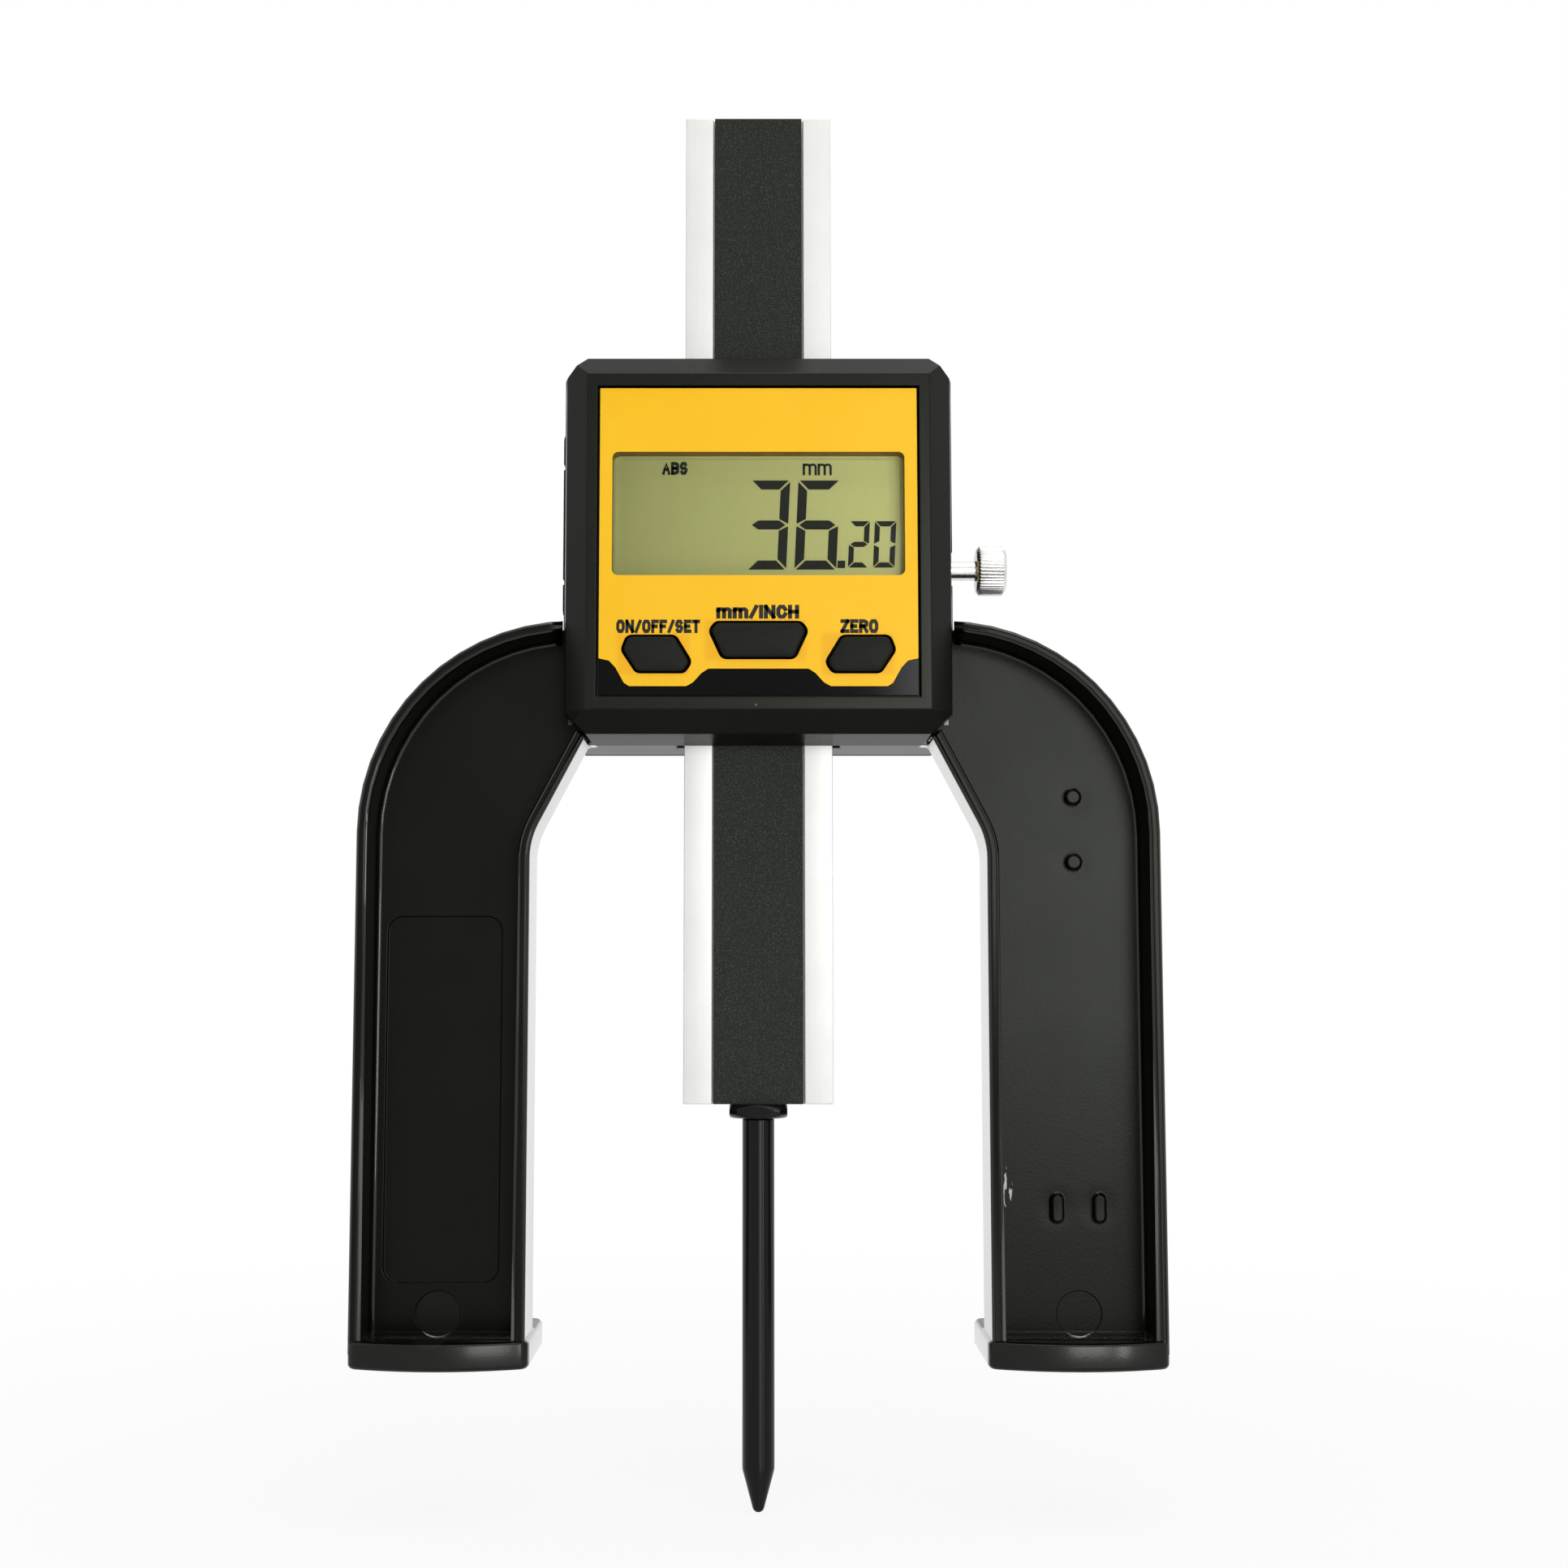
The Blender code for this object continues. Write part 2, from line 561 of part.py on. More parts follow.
def foot_well(side):
    """Lower end of a leg's hollow, behind the foot's front lip."""
    inner_x = ARCH_WIDTH / 2 - LEG_WIDTH + RIM_WALL
    outer_x = ARCH_WIDTH / 2 - RIM_WALL
    low = SOLE_Z + FOOT_FLOOR
    high = SOLE_Z + FOOT_THICKNESS + OVERRUN
    wall = rectangle(outer_x - inner_x, high - low, (side * (inner_x + outer_x) / 2, (low + high) / 2))
    return stacked([(-RIM_FRONT + FOOT_LIP, wall), (SEAT_Y - WEB_FILLET, wall),
                    (SEAT_Y, inset(wall, WEB_FILLET))])


def gusset(centre_x):
    """Three-cornered rib between a leg's back and its foot."""
    foot_top = SOLE_Z + FOOT_THICKNESS
    reach = FOOT_DEPTH / 2 - FOOT_CORNER_RADIUS
    outline = [(WEB_BACK - OVERRUN, foot_top - OVERRUN), (reach, foot_top - OVERRUN),
               (reach, foot_top), (WEB_BACK, foot_top + GUSSET_HEIGHT),
               (WEB_BACK - OVERRUN, foot_top + GUSSET_HEIGHT)]
    return prism(outline, centre_x - GUSSET_THICKNESS / 2, centre_x + GUSSET_THICKNESS / 2, "X")


def cut_corners(points, cut):
    """Cut each corner of an outline at the same distance along both sides."""
    result = []
    for index, point in enumerate(points):
        corner = Vector(point)
        before = (Vector(points[index - 1]) - corner).normalized()
        after = (Vector(points[(index + 1) % len(points)]) - corner).normalized()
        result.append(tuple(corner + before * cut))
        result.append(tuple(corner + after * cut))
    return result


def rear_body_form():
    """Block behind the seat plane, its sides drafted towards the back."""
    return stacked([(along, cut_corners(rectangle(BODY_WIDTH - 2 * shrink, BODY_HEIGHT, (0, HEAD_Z)),
                                        BODY_CORNER_CUT))
                    for along, shrink in ((SEAT_Y, 0), (BODY_BACK, BODY_DRAFT))])


def make_arch_frame(stand, look):
    outline = arch_outline()
    frame = mesh_object("arch_frame", [stacked([
        (-RIM_FRONT, inset(outline, RIM_EDGE)), (-RIM_FRONT + RIM_EDGE, outline), (WEB_BACK, outline)])])
    # seat that follows the front cover, with no lip under its lower edge
    seat_half = ARCH_WIDTH / 2 - LEG_WIDTH - GAP_TOP_INSET
    lip = block((-seat_half, -RIM_FRONT - OVERRUN, BODY_BOTTOM_Z - OVERRUN), (seat_half, SEAT_Y, HEAD_Z))
    apply_boolean(frame, [cover_form(-CLEAR, -RIM_FRONT - OVERRUN, SEAT_Y), lip], "DIFFERENCE")
    for side in (-1, 1):
        apply_boolean(frame, [leg_channel(side)], "DIFFERENCE")
    apply_boolean(frame, [rear_body_form()], "UNION")
    # feet and their gussets
    for side in (-1, 1):
        apply_boolean(frame, [foot_form(side * FOOT_X)], "UNION")
        apply_boolean(frame, [foot_well(side)], "DIFFERENCE")
        for place in (-GUSSET_SPACING / 2, GUSSET_SPACING / 2):
            apply_boolean(frame, [gusset(side * LEG_CENTRE_X + place)], "UNION")
            magnet_x = side * FOOT_X + place * MAGNET_SPACING / GUSSET_SPACING
            pocket = turned([(MAGNET_RADIUS + CLEAR, SOLE_Z - OVERRUN),
                             (MAGNET_RADIUS + CLEAR, SOLE_Z + MAGNET_SUNK + MAGNET_THICKNESS + CLEAR)],
                            "Z", (magnet_x, MAGNET_SETBACK))
            apply_boolean(frame, [pocket], "DIFFERENCE")
    shape_webs(frame)
    shape_head(frame)
    return finish(frame, look, stand)


def shape_webs(frame):
    """Marks, pocket, pins and ribs of the two webs."""
    pocket_low = SOLE_Z + WEB_POCKET_LOW
    pocket_high = ARCH_TOP_Z - WEB_POCKET_DROP
    pocket = fillet(rectangle(WEB_POCKET_WIDTH, pocket_high - pocket_low,
                              (-LEG_CENTRE_X - WEB_POCKET_OFFSET, (pocket_low + pocket_high) / 2)),
                    WEB_POCKET_RADIUS)
    apply_boolean(frame, [prism(pocket, SEAT_Y - OVERRUN, SEAT_Y + WEB_POCKET_DEPTH)], "DIFFERENCE")
    for side in (-1, 1):
        mark = turned([(WEB_MARK_RADIUS, SEAT_Y - OVERRUN), (WEB_MARK_RADIUS, SEAT_Y + WEB_MARK_DEPTH)],
                      "Y", (side * WEB_DETAIL_X, SOLE_Z + WEB_MARK_HEIGHT))
        apply_boolean(frame, [mark], "DIFFERENCE")
    pin_reach = SEAT_Y - PIN_PROUD
    for drop in PIN_DROPS:
        pin = turned([(PIN_RADIUS, pin_reach), (PIN_RADIUS, SEAT_Y + OVERRUN)],
                     "Y", (WEB_DETAIL_X, ARCH_TOP_Z - drop), SMALL_SIDES)
        apply_boolean(frame, [pin], "UNION")
    for place in (-RIB_SPACING / 2, RIB_SPACING / 2):
        rib = fillet(rectangle(RIB_WIDTH, RIB_LENGTH, (WEB_DETAIL_X + place, SOLE_Z + RIB_HEIGHT)),
                     RIB_WIDTH / 2, ARC_STEPS // 2)
        apply_boolean(frame, [prism(rib, pin_reach, SEAT_Y + OVERRUN)], "UNION")


def shape_head(frame):
    """Channel, lock boss and bores, drawer bay, pockets and screw holes."""
    apply_boolean(frame, [block((-CHANNEL_HALF, SEAT_Y - OVERRUN, BODY_BOTTOM_Z - OVERRUN),
                                (CHANNEL_HALF, CHANNEL_BACK_Y, BODY_TOP_Z + OVERRUN))], "DIFFERENCE")
    boss = block((BOSS_INNER_X, -BOSS_HALF, LOCK_Z - BOSS_HALF),
                 (HALF_BODY - BODY_DRAFT, SEAT_Y + OVERRUN, LOCK_Z + BOSS_HALF))
    apply_boolean(frame, [boss], "UNION")
    shoe_bore = turned([(SHOE_BORE_RADIUS, 0), (SHOE_BORE_RADIUS, HALF_BODY)], "X", (0, LOCK_Z))
    insert_bore = turned([(INSERT_BORE_RADIUS, INSERT_INNER_X - CLEAR),
                          (INSERT_BORE_RADIUS, HALF_BODY + OVERRUN)], "X", (0, LOCK_Z))
    apply_boolean(frame, [shoe_bore, insert_bore], "DIFFERENCE")
    cut_drawer_bay(frame)
    cut_back_pockets(frame)
    for x, z in case_screw_places():
        hole = turned([(CASE_SCREW_RADIUS + CLEAR, SEAT_Y - OVERRUN),
                       (CASE_SCREW_RADIUS + CLEAR, BODY_BACK + OVERRUN)], "Y", (x, z), SMALL_SIDES)
        apply_boolean(frame, [hole], "DIFFERENCE")
    for x, z in board_screw_places():
        hole = turned([(BOARD_SCREW_RADIUS + CLEAR, SEAT_Y - OVERRUN),
                       (BOARD_SCREW_RADIUS + CLEAR, BOARD_FRONT_Y + BOARD_SCREW_GRIP + CLEAR)],
                      "Y", (x, z), SMALL_SIDES)
        apply_boolean(frame, [hole], "DIFFERENCE")


def cut_drawer_bay(frame):
    bay = block((-HALF_BODY - OVERRUN, DRAWER_FRONT - CLEAR, DRAWER_Z - TRAY_HALF_HEIGHT - CLEAR),
                (TRAY_END_X + CLEAR, TRAY_BACK_Y + CLEAR, DRAWER_Z + TRAY_HALF_HEIGHT + CLEAR))
    face_middle = (DRAWER_FRONT + TRAY_BACK_Y) / 2
    half_depth = DRAWER_FACE_DEPTH / 2 + CLEAR
    half_height = DRAWER_FACE_HEIGHT / 2 + CLEAR
    rebate = block((-HALF_BODY - OVERRUN, face_middle - half_depth, DRAWER_Z - half_height),
                   (DRAWER_FACE_BACK_X + CLEAR, face_middle + half_depth, DRAWER_Z + half_height))
    # slot that brings the contact forward beside the channel to the board
    slot = block((contact_tail_x() - CLEAR, SEAT_Y - OVERRUN, DRAWER_Z - CONTACT_WIDTH / 2 - CLEAR),
                 (contact_tail_x() + CONTACT_THICKNESS + CLEAR, DRAWER_FRONT,
                  DRAWER_Z + CONTACT_WIDTH / 2 + CLEAR))
    leaf = block((DRAWER_FACE_BACK_X + CONTACT_FACE_GAP - CLEAR, contact_leaf_y() - CLEAR,
                  DRAWER_Z - CONTACT_WIDTH / 2 - CLEAR),
                 (contact_tail_x() + CONTACT_THICKNESS + CLEAR, DRAWER_FRONT,
                  DRAWER_Z + CONTACT_WIDTH / 2 + CLEAR))
    apply_boolean(frame, [bay, rebate, slot, leaf], "DIFFERENCE")


def cut_back_pockets(frame):
    """Hollows behind the channel's floor, closed by the rear cover."""
    front = CHANNEL_BACK_Y + CHANNEL_FLOOR_WALL
    inner = CHANNEL_HALF + BODY_WALL
    outer = HALF_BODY - BODY_DRAFT - BODY_WALL
    screw_low = HEAD_Z - CASE_SCREW_RISE + CASE_SCREW_RADIUS + CLEAR + BODY_WALL
    screw_high = HEAD_Z + CASE_SCREW_RISE - CASE_SCREW_RADIUS - CLEAR - BODY_WALL
    bay_low = DRAWER_Z - DRAWER_FACE_HEIGHT / 2 - CLEAR - BODY_WALL
    boss_half = INSERT_BORE_RADIUS + BODY_WALL
    pockets = [
        ((inner, screw_low), (outer, LOCK_Z - boss_half)),
        ((inner, LOCK_Z + boss_half), (outer, screw_high)),
        ((-outer, screw_low), (-inner, bay_low)),
        ((-CHANNEL_HALF, BODY_BOTTOM_Z + BODY_WALL), (CHANNEL_HALF, bay_low)),
        ((TRAY_END_X + CLEAR + BODY_WALL, bay_low + BODY_WALL),
         (CHANNEL_HALF, BODY_TOP_Z - BODY_WALL)),
    ]
    for low, high in pockets:
        pocket = block((low[0], front, low[1]), (high[0], BODY_BACK + OVERRUN, high[1]))
        apply_boolean(frame, [pocket], "DIFFERENCE")


def case_screw_places():
    return [(x, HEAD_Z + rise) for x in (-CASE_SCREW_X, CASE_SCREW_X)
            for rise in (-CASE_SCREW_RISE, CASE_SCREW_RISE)]


def board_screw_places():
    return [(x, HEAD_Z + rise) for x in (-BOARD_SCREW_X, BOARD_SCREW_X)
            for rise in (-BOARD_SCREW_RISE, BOARD_SCREW_RISE)]


def contact_tail_x():
    return -CHANNEL_HALF - CONTACT_END - CONTACT_THICKNESS


def contact_leaf_y():
    return DRAWER_FRONT - CLEAR - CONTACT_THICKNESS


# Front cover, its panel and what shows through it

def cover_form(inner, front_y, back_y):
    """Sloped and flared box with cut corners, its walls moved in by inner."""
    slope_half = (COVER_WIDTH / 2 - inner, COVER_HEIGHT / 2 - inner)
    depth = COVER_BACK_Y - COVER_SLOPE_Y
    rings = []
    if inner == 0:
        stations = [(front_y, -COVER_SLOPE_WIDTH), (COVER_SLOPE_Y, 0), (back_y, COVER_FLARE)]
    else:
        flare = COVER_FLARE / depth
        stations = [(along, flare * (along - COVER_SLOPE_Y)) for along in (front_y, back_y)]
    for along, grow in stations:
        outline = rectangle(2 * (slope_half[0] + grow), 2 * (slope_half[1] + grow), (0, HEAD_Z))
        rings.append([on_axis("Y", u, v, along) for u, v in outline])
    form = loft(rings)
    corner = Vector((COVER_WIDTH / 2 - COVER_CORNER_CUT / 2, 0, COVER_HEIGHT / 2 - COVER_CORNER_CUT / 2))
    for side in (-1, 1):
        for rise in (-1, 1):
            normal = Vector((side, 0, rise)).normalized()
            point = Vector((side * corner.x, 0, HEAD_Z + rise * corner.z)) - normal * inner
            geometry = form.verts[:] + form.edges[:] + form.faces[:]
            cut = bmesh.ops.bisect_plane(form, geom=geometry, plane_co=point, plane_no=normal,
                                         clear_outer=True)
            edges = [item for item in cut["geom_cut"] if isinstance(item, bmesh.types.BMEdge)]
            bmesh.ops.edgeloop_fill(form, edges=edges)
    bmesh.ops.recalc_face_normals(form, faces=form.faces)
    return form


def button_outlines():
    """Name, outline and centre of each button."""
    side = scaled_outline(SIDE_BUTTON_SHARES, SIDE_BUTTON_WIDTH, SIDE_BUTTON_HEIGHT,
                          (-SIDE_BUTTON_X, SIDE_BUTTON_Z))
    centre = scaled_outline(CENTRE_BUTTON_SHARES, CENTRE_BUTTON_WIDTH, CENTRE_BUTTON_HEIGHT,
                            (0, CENTRE_BUTTON_Z))
    left = fillet(side, BUTTON_CORNER_RADIUS)
    right = [(-u, v) for u, v in reversed(left)]
    return [("button_left", left, (-SIDE_BUTTON_X, SIDE_BUTTON_Z)),
            ("button_center", fillet(centre, BUTTON_CORNER_RADIUS), (0, CENTRE_BUTTON_Z)),
            ("button_right", right, (SIDE_BUTTON_X, SIDE_BUTTON_Z))]


def window_outline(grow):
    return fillet(rectangle(WINDOW_WIDTH + 2 * grow, WINDOW_HEIGHT + 2 * grow, (0, WINDOW_Z)),
                  WINDOW_CORNER_RADIUS)


def make_front_cover(stand, look):
    cover = mesh_object("front_cover", [cover_form(0, -COVER_FRONT, COVER_BACK_Y)])
    apply_boolean(cover, [cover_form(COVER_WALL, COVER_CAVITY_Y, COVER_BACK_Y + OVERRUN)], "DIFFERENCE")
    for place in case_screw_places():
        boss = turned([(CASE_BOSS_RADIUS, PANEL_FLOOR_Y + COVER_FRONT_WALL / 2),
                       (CASE_BOSS_RADIUS, COVER_BACK_Y)], "Y", place)
        apply_boolean(cover, [boss], "UNION")
        bore = turned([(CASE_SCREW_RADIUS + CLEAR, COVER_BACK_Y - CASE_SCREW_GRIP - CLEAR),
                       (CASE_SCREW_RADIUS + CLEAR, COVER_BACK_Y + OVERRUN)],
                      "Y", place, SMALL_SIDES)
        apply_boolean(cover, [bore], "DIFFERENCE")
    recess = prism(rectangle(PANEL_WIDTH, PANEL_HEIGHT, (0, HEAD_Z)),
                   -COVER_FRONT - OVERRUN, PANEL_FLOOR_Y)
    window = prism(window_outline(0), -COVER_FRONT, COVER_CAVITY_Y + OVERRUN)
    apply_boolean(cover, [recess, window], "DIFFERENCE")
    for _, outline, _ in button_outlines():
        hole = prism(inset(outline, -CLEAR), -COVER_FRONT, COVER_CAVITY_Y + OVERRUN)
        apply_boolean(cover, [hole], "DIFFERENCE")
    # notch over the lock boss
    notch_half = BOSS_HALF + CLEAR
    notch = block((HALF_BODY - INSERT_LENGTH, -notch_half, LOCK_Z - notch_half),
                  (HALF_BODY + OVERRUN, COVER_BACK_Y + OVERRUN, LOCK_Z + notch_half))
    apply_boolean(cover, [notch], "DIFFERENCE")
    return finish(cover, look, stand, HARD_EDGE)


def make_face_plate(stand, look):
    plate = mesh_object("face_plate", [prism(rectangle(PANEL_WIDTH - 2 * CLEAR, PANEL_HEIGHT - 2 * CLEAR,
                                                       (0, HEAD_Z)), PANEL_FRONT_Y, PANEL_BACK_Y)])
    cut_panel_openings(plate, PANEL_FRONT_Y, PANEL_BACK_Y)
    return finish(plate, look, stand, HARD_EDGE)


def make_face_label(stand, look):
    """Coloured film over the upper part of the plate, its lower edge stepped round the buttons."""
    half = PANEL_WIDTH / 2 - CLEAR
    height = PANEL_HEIGHT - 2 * CLEAR
    low = HEAD_Z - height / 2
    edge = [(half * u, low + height * v) for u, v in LABEL_EDGE_SHARES]
    outline = edge + [(half, low + height), (-half, low + height)] + [(-u, v) for u, v in reversed(edge)]
    back = PANEL_FRONT_Y - LABEL_GAP
    label = mesh_object("face_label", [prism(outline, back - LABEL_THICKNESS, back)])
    cut_panel_openings(label, back - LABEL_THICKNESS, back)
    return finish(label, look, stand, HARD_EDGE)


def cut_panel_openings(sheet, front, back):
    apply_boolean(sheet, [prism(window_outline(0), front - OVERRUN, back + OVERRUN)], "DIFFERENCE")
    for _, outline, _ in button_outlines():
        hole = prism(inset(outline, -CLEAR), front - OVERRUN, back + OVERRUN)
        apply_boolean(sheet, [hole], "DIFFERENCE")


def make_display(stand, lens_look, glass_look, rubber_look):
    lens_back = COVER_CAVITY_Y
    lens = mesh_object("display_lens", [prism(window_outline(-CLEAR),
                                              lens_back - LENS_THICKNESS, lens_back)])
    finish(lens, lens_look, stand, HARD_EDGE)
    glass = mesh_object("lcd_panel", [prism(rectangle(LCD_WIDTH, LCD_HEIGHT, (0, WINDOW_Z)),
                                            LCD_FRONT_Y, LCD_BACK_Y)])
    finish(glass, glass_look, stand, HARD_EDGE)
    for name, rise in (("zebra_strip_lower", -1), ("zebra_strip_upper", 1)):
        middle = WINDOW_Z + rise * (LCD_HEIGHT / 2 - ZEBRA_INSET)
        strip = block((-ZEBRA_LENGTH / 2, LCD_BACK_Y + CLEAR, middle - ZEBRA_THICKNESS / 2),
                      (ZEBRA_LENGTH / 2, BOARD_FRONT_Y - CLEAR, middle + ZEBRA_THICKNESS / 2))
        finish(mesh_object(name, [strip]), rubber_look, stand, HARD_EDGE)


# Circuit board

def make_board(stand, board_look, chip_look, screw_look, dome_look):
    board = mesh_object("circuit_board", [block(
        (-BOARD_WIDTH / 2, BOARD_FRONT_Y, HEAD_Z - BOARD_HEIGHT / 2),
        (BOARD_WIDTH / 2, BOARD_BACK_Y, HEAD_Z + BOARD_HEIGHT / 2))])
    notch_half = BOSS_HALF + CLEAR
    notch = block((CHANNEL_HALF, BOARD_FRONT_Y - OVERRUN, LOCK_Z - notch_half),
                  (BOARD_WIDTH / 2 + OVERRUN, BOARD_BACK_Y + OVERRUN, LOCK_Z + notch_half))
    apply_boolean(board, [notch], "DIFFERENCE")
    for place in board_screw_places():
        hole = turned([(BOARD_SCREW_RADIUS + CLEAR, BOARD_FRONT_Y - OVERRUN),
                       (BOARD_SCREW_RADIUS + CLEAR, BOARD_BACK_Y + OVERRUN)], "Y", place, SMALL_SIDES)
        apply_boolean(board, [hole], "DIFFERENCE")
    finish(board, board_look, stand, HARD_EDGE)

    chip_front = BOARD_FRONT_Y - CLEAR - CHIP_THICKNESS
    chip = prism(cut_corners(rectangle(CHIP_SIZE, CHIP_SIZE, (0, WINDOW_Z)), CHIP_CORNER_CUT),
                 chip_front, BOARD_FRONT_Y - CLEAR)
    crystal_y = BOARD_FRONT_Y - CLEAR - CRYSTAL_RADIUS
    crystal = turned([(CRYSTAL_RADIUS, WINDOW_Z - CRYSTAL_LENGTH / 2),
                      (CRYSTAL_RADIUS, WINDOW_Z + CRYSTAL_LENGTH / 2)],
                     "Z", (-CRYSTAL_OFFSET, crystal_y), SMALL_SIDES)
    finish(mesh_object("board_chip", [chip]), chip_look, stand)
    finish(mesh_object("board_crystal", [crystal]), screw_look, stand)

    head_back = BOARD_FRONT_Y - CLEAR
    for number, place in enumerate(board_screw_places(), 1):
        screw = turned([(BOARD_SCREW_HEAD_RADIUS, head_back - BOARD_SCREW_HEAD_THICKNESS),
                        (BOARD_SCREW_HEAD_RADIUS, head_back), (BOARD_SCREW_RADIUS, head_back),
                        (BOARD_SCREW_RADIUS, BOARD_FRONT_Y + BOARD_SCREW_GRIP)],
                       "Y", place, SMALL_SIDES)
        finish(mesh_object(f"board_screw_{number}", [screw]), screw_look, stand)
    for name, _, centre in button_outlines():
        dome = turned([(SNAP_DOME_RADIUS / 2, SNAP_DOME_FRONT_Y), (SNAP_DOME_RADIUS, SNAP_DOME_BACK_Y)],
                      "Y", centre, SMALL_SIDES)
        finish(mesh_object(name.replace("button", "snap_dome"), [dome]), dome_look, stand)


# Buttons

def make_buttons(stand, look):
    """Rubber keys: a domed cap, a lip behind the cover's wall and a plunger to the snap dome."""
    lip_front = COVER_CAVITY_Y + CLEAR
    lip_back = lip_front + BUTTON_LIP_THICKNESS
    top = -COVER_FRONT - BUTTON_PROUD
    plunger_end = SNAP_DOME_FRONT_Y - BUTTON_TRAVEL - PLUNGER_END_GAP
    for name, outline, centre in button_outlines():
        stations = [(top + depth * BUTTON_DOME, inwards * BUTTON_DOME_INSET)
                    for depth, inwards in BUTTON_DOME_SHARES]
        stations += [(lip_front, 0), (lip_front, -BUTTON_LIP), (lip_back, -BUTTON_LIP)]
        axis = body_empty(name + "_axis", (centre[0], top, centre[1]), stand)
        key = mesh_object(name, [stacked([(along, dome_ring(outline, inwards, centre))
                                          for along, inwards in stations])])
        plunger = turned([(PLUNGER_RADIUS, lip_front + CLEAR), (PLUNGER_RADIUS, plunger_end)], "Y", centre)
        apply_boolean(key, [plunger], "UNION")
        finish(key, look, axis)


def dome_ring(outline, inwards, centre):
    """Outline drawn in towards its centre, or out for the lip."""
    if inwards <= 0:
        return inset(outline, inwards) if inwards else outline
    half_height = (max(v for _, v in outline) - min(v for _, v in outline)) / 2
    share = 1 - inwards / half_height
    half_width = (max(u for u, _ in outline) - min(u for u, _ in outline)) / 2
    wide_share = 1 - inwards / half_width
    return [(centre[0] + (u - centre[0]) * wide_share, centre[1] + (v - centre[1]) * share)
            for u, v in outline]


# Rail, scale strip, nut, probe and stop screws

def make_rail(rail_axis, rail_look, strip_look, steel_look, probe_look):
    half = RAIL_WIDTH / 2
    groove_half = STRIP_GROOVE_WIDTH / 2
    groove_floor = RAIL_FRONT_Y + STRIP_THICKNESS + CLEAR
    section = [(-half, RAIL_FRONT_Y), (-groove_half, RAIL_FRONT_Y), (-groove_half, groove_floor),
               (groove_half, groove_floor), (groove_half, RAIL_FRONT_Y), (half, RAIL_FRONT_Y),
               (half, RAIL_THICKNESS / 2), (-half, RAIL_THICKNESS / 2)]
    rail = mesh_object("rail_beam", [prism(section, RAIL_BOTTOM_Z, RAIL_TOP_Z, "Z")])
    bore_radius = STUD_RADIUS + CLEAR
    stud_y = probe_axis_y()
    bore = turned([(bore_radius, RAIL_BOTTOM_Z - OVERRUN),
                   (bore_radius, RAIL_BOTTOM_Z + STUD_GRIP + CLEAR)], "Z", (0, stud_y), SMALL_SIDES)
    apply_boolean(rail, [bore], "DIFFERENCE")
    for x in (-STOP_SPACING / 2, STOP_SPACING / 2):
        hole = turned([(STOP_SHANK_RADIUS + CLEAR, groove_floor + CLEAR),
                       (STOP_SHANK_RADIUS + CLEAR, RAIL_THICKNESS + OVERRUN)], "Y",
                      (x, RAIL_TOP_Z - STOP_FROM_END), SMALL_SIDES)
        apply_boolean(rail, [hole], "DIFFERENCE")
    finish(rail, rail_look, rail_axis, HARD_EDGE)

    strip_half = groove_half - STRIP_SIDE_GAP
    strip = mesh_object("scale_strip", [block((-strip_half, RAIL_FRONT_Y, RAIL_BOTTOM_Z),
                                              (strip_half, RAIL_FRONT_Y + STRIP_THICKNESS, RAIL_TOP_Z))])
    finish(strip, strip_look, rail_axis, HARD_EDGE)

    nut_top = RAIL_BOTTOM_Z - CLEAR
    nut_low = nut_top - NUT_THICKNESS
    nut_stations = []
    for along, shrink in ((nut_low, NUT_BEVEL), (nut_low + NUT_BEVEL, 0),
                          (nut_top - NUT_BEVEL, 0), (nut_top, NUT_BEVEL)):
        side = NUT_WIDTH - 2 * shrink
        ring = cut_corners(rectangle(side, side, (0, stud_y)), NUT_CORNER_CUT)
        nut_stations.append((along, ring))
    nut = mesh_object("probe_nut", [stacked(nut_stations, "Z")])
    apply_boolean(nut, [turned([(bore_radius, nut_low - OVERRUN), (bore_radius, nut_top + OVERRUN)],
                               "Z", (0, stud_y), SMALL_SIDES)], "DIFFERENCE")
    finish(nut, probe_look, rail_axis)

    shoulder = nut_low - CLEAR
    probe = mesh_object("probe", [turned([
        (PROBE_TIP_FLAT, 0), (PROBE_TIP_RADIUS, PROBE_TIP_ROUND),
        (PROBE_RADIUS, PROBE_TAPER), (PROBE_RADIUS, shoulder),
        (STUD_RADIUS, shoulder), (STUD_RADIUS, RAIL_BOTTOM_Z + STUD_GRIP)], "Z", (0, stud_y))])
    finish(probe, probe_look, rail_axis)

    head_front = RAIL_THICKNESS / 2 + CLEAR
    head_back = head_front + STOP_HEAD_THICKNESS
    for name, x in (("stop_screw_left", -STOP_SPACING / 2), ("stop_screw_right", STOP_SPACING / 2)):
        stop = turned([(STOP_SHANK_RADIUS, groove_floor + 2 * CLEAR), (STOP_SHANK_RADIUS, head_front),
                       (STOP_HEAD_RADIUS, head_front), (STOP_HEAD_RADIUS, head_back - STOP_HEAD_BEVEL),
                       (STOP_HEAD_RADIUS - STOP_HEAD_BEVEL, head_back)],
                      "Y", (x, RAIL_TOP_Z - STOP_FROM_END), SMALL_SIDES)
        finish(mesh_object(name, [stop]), steel_look, rail_axis)


def probe_axis_y():
    """The stud sits in the metal behind the strip's groove."""
    return (RAIL_FRONT_Y + STRIP_THICKNESS + CLEAR + RAIL_THICKNESS / 2) / 2


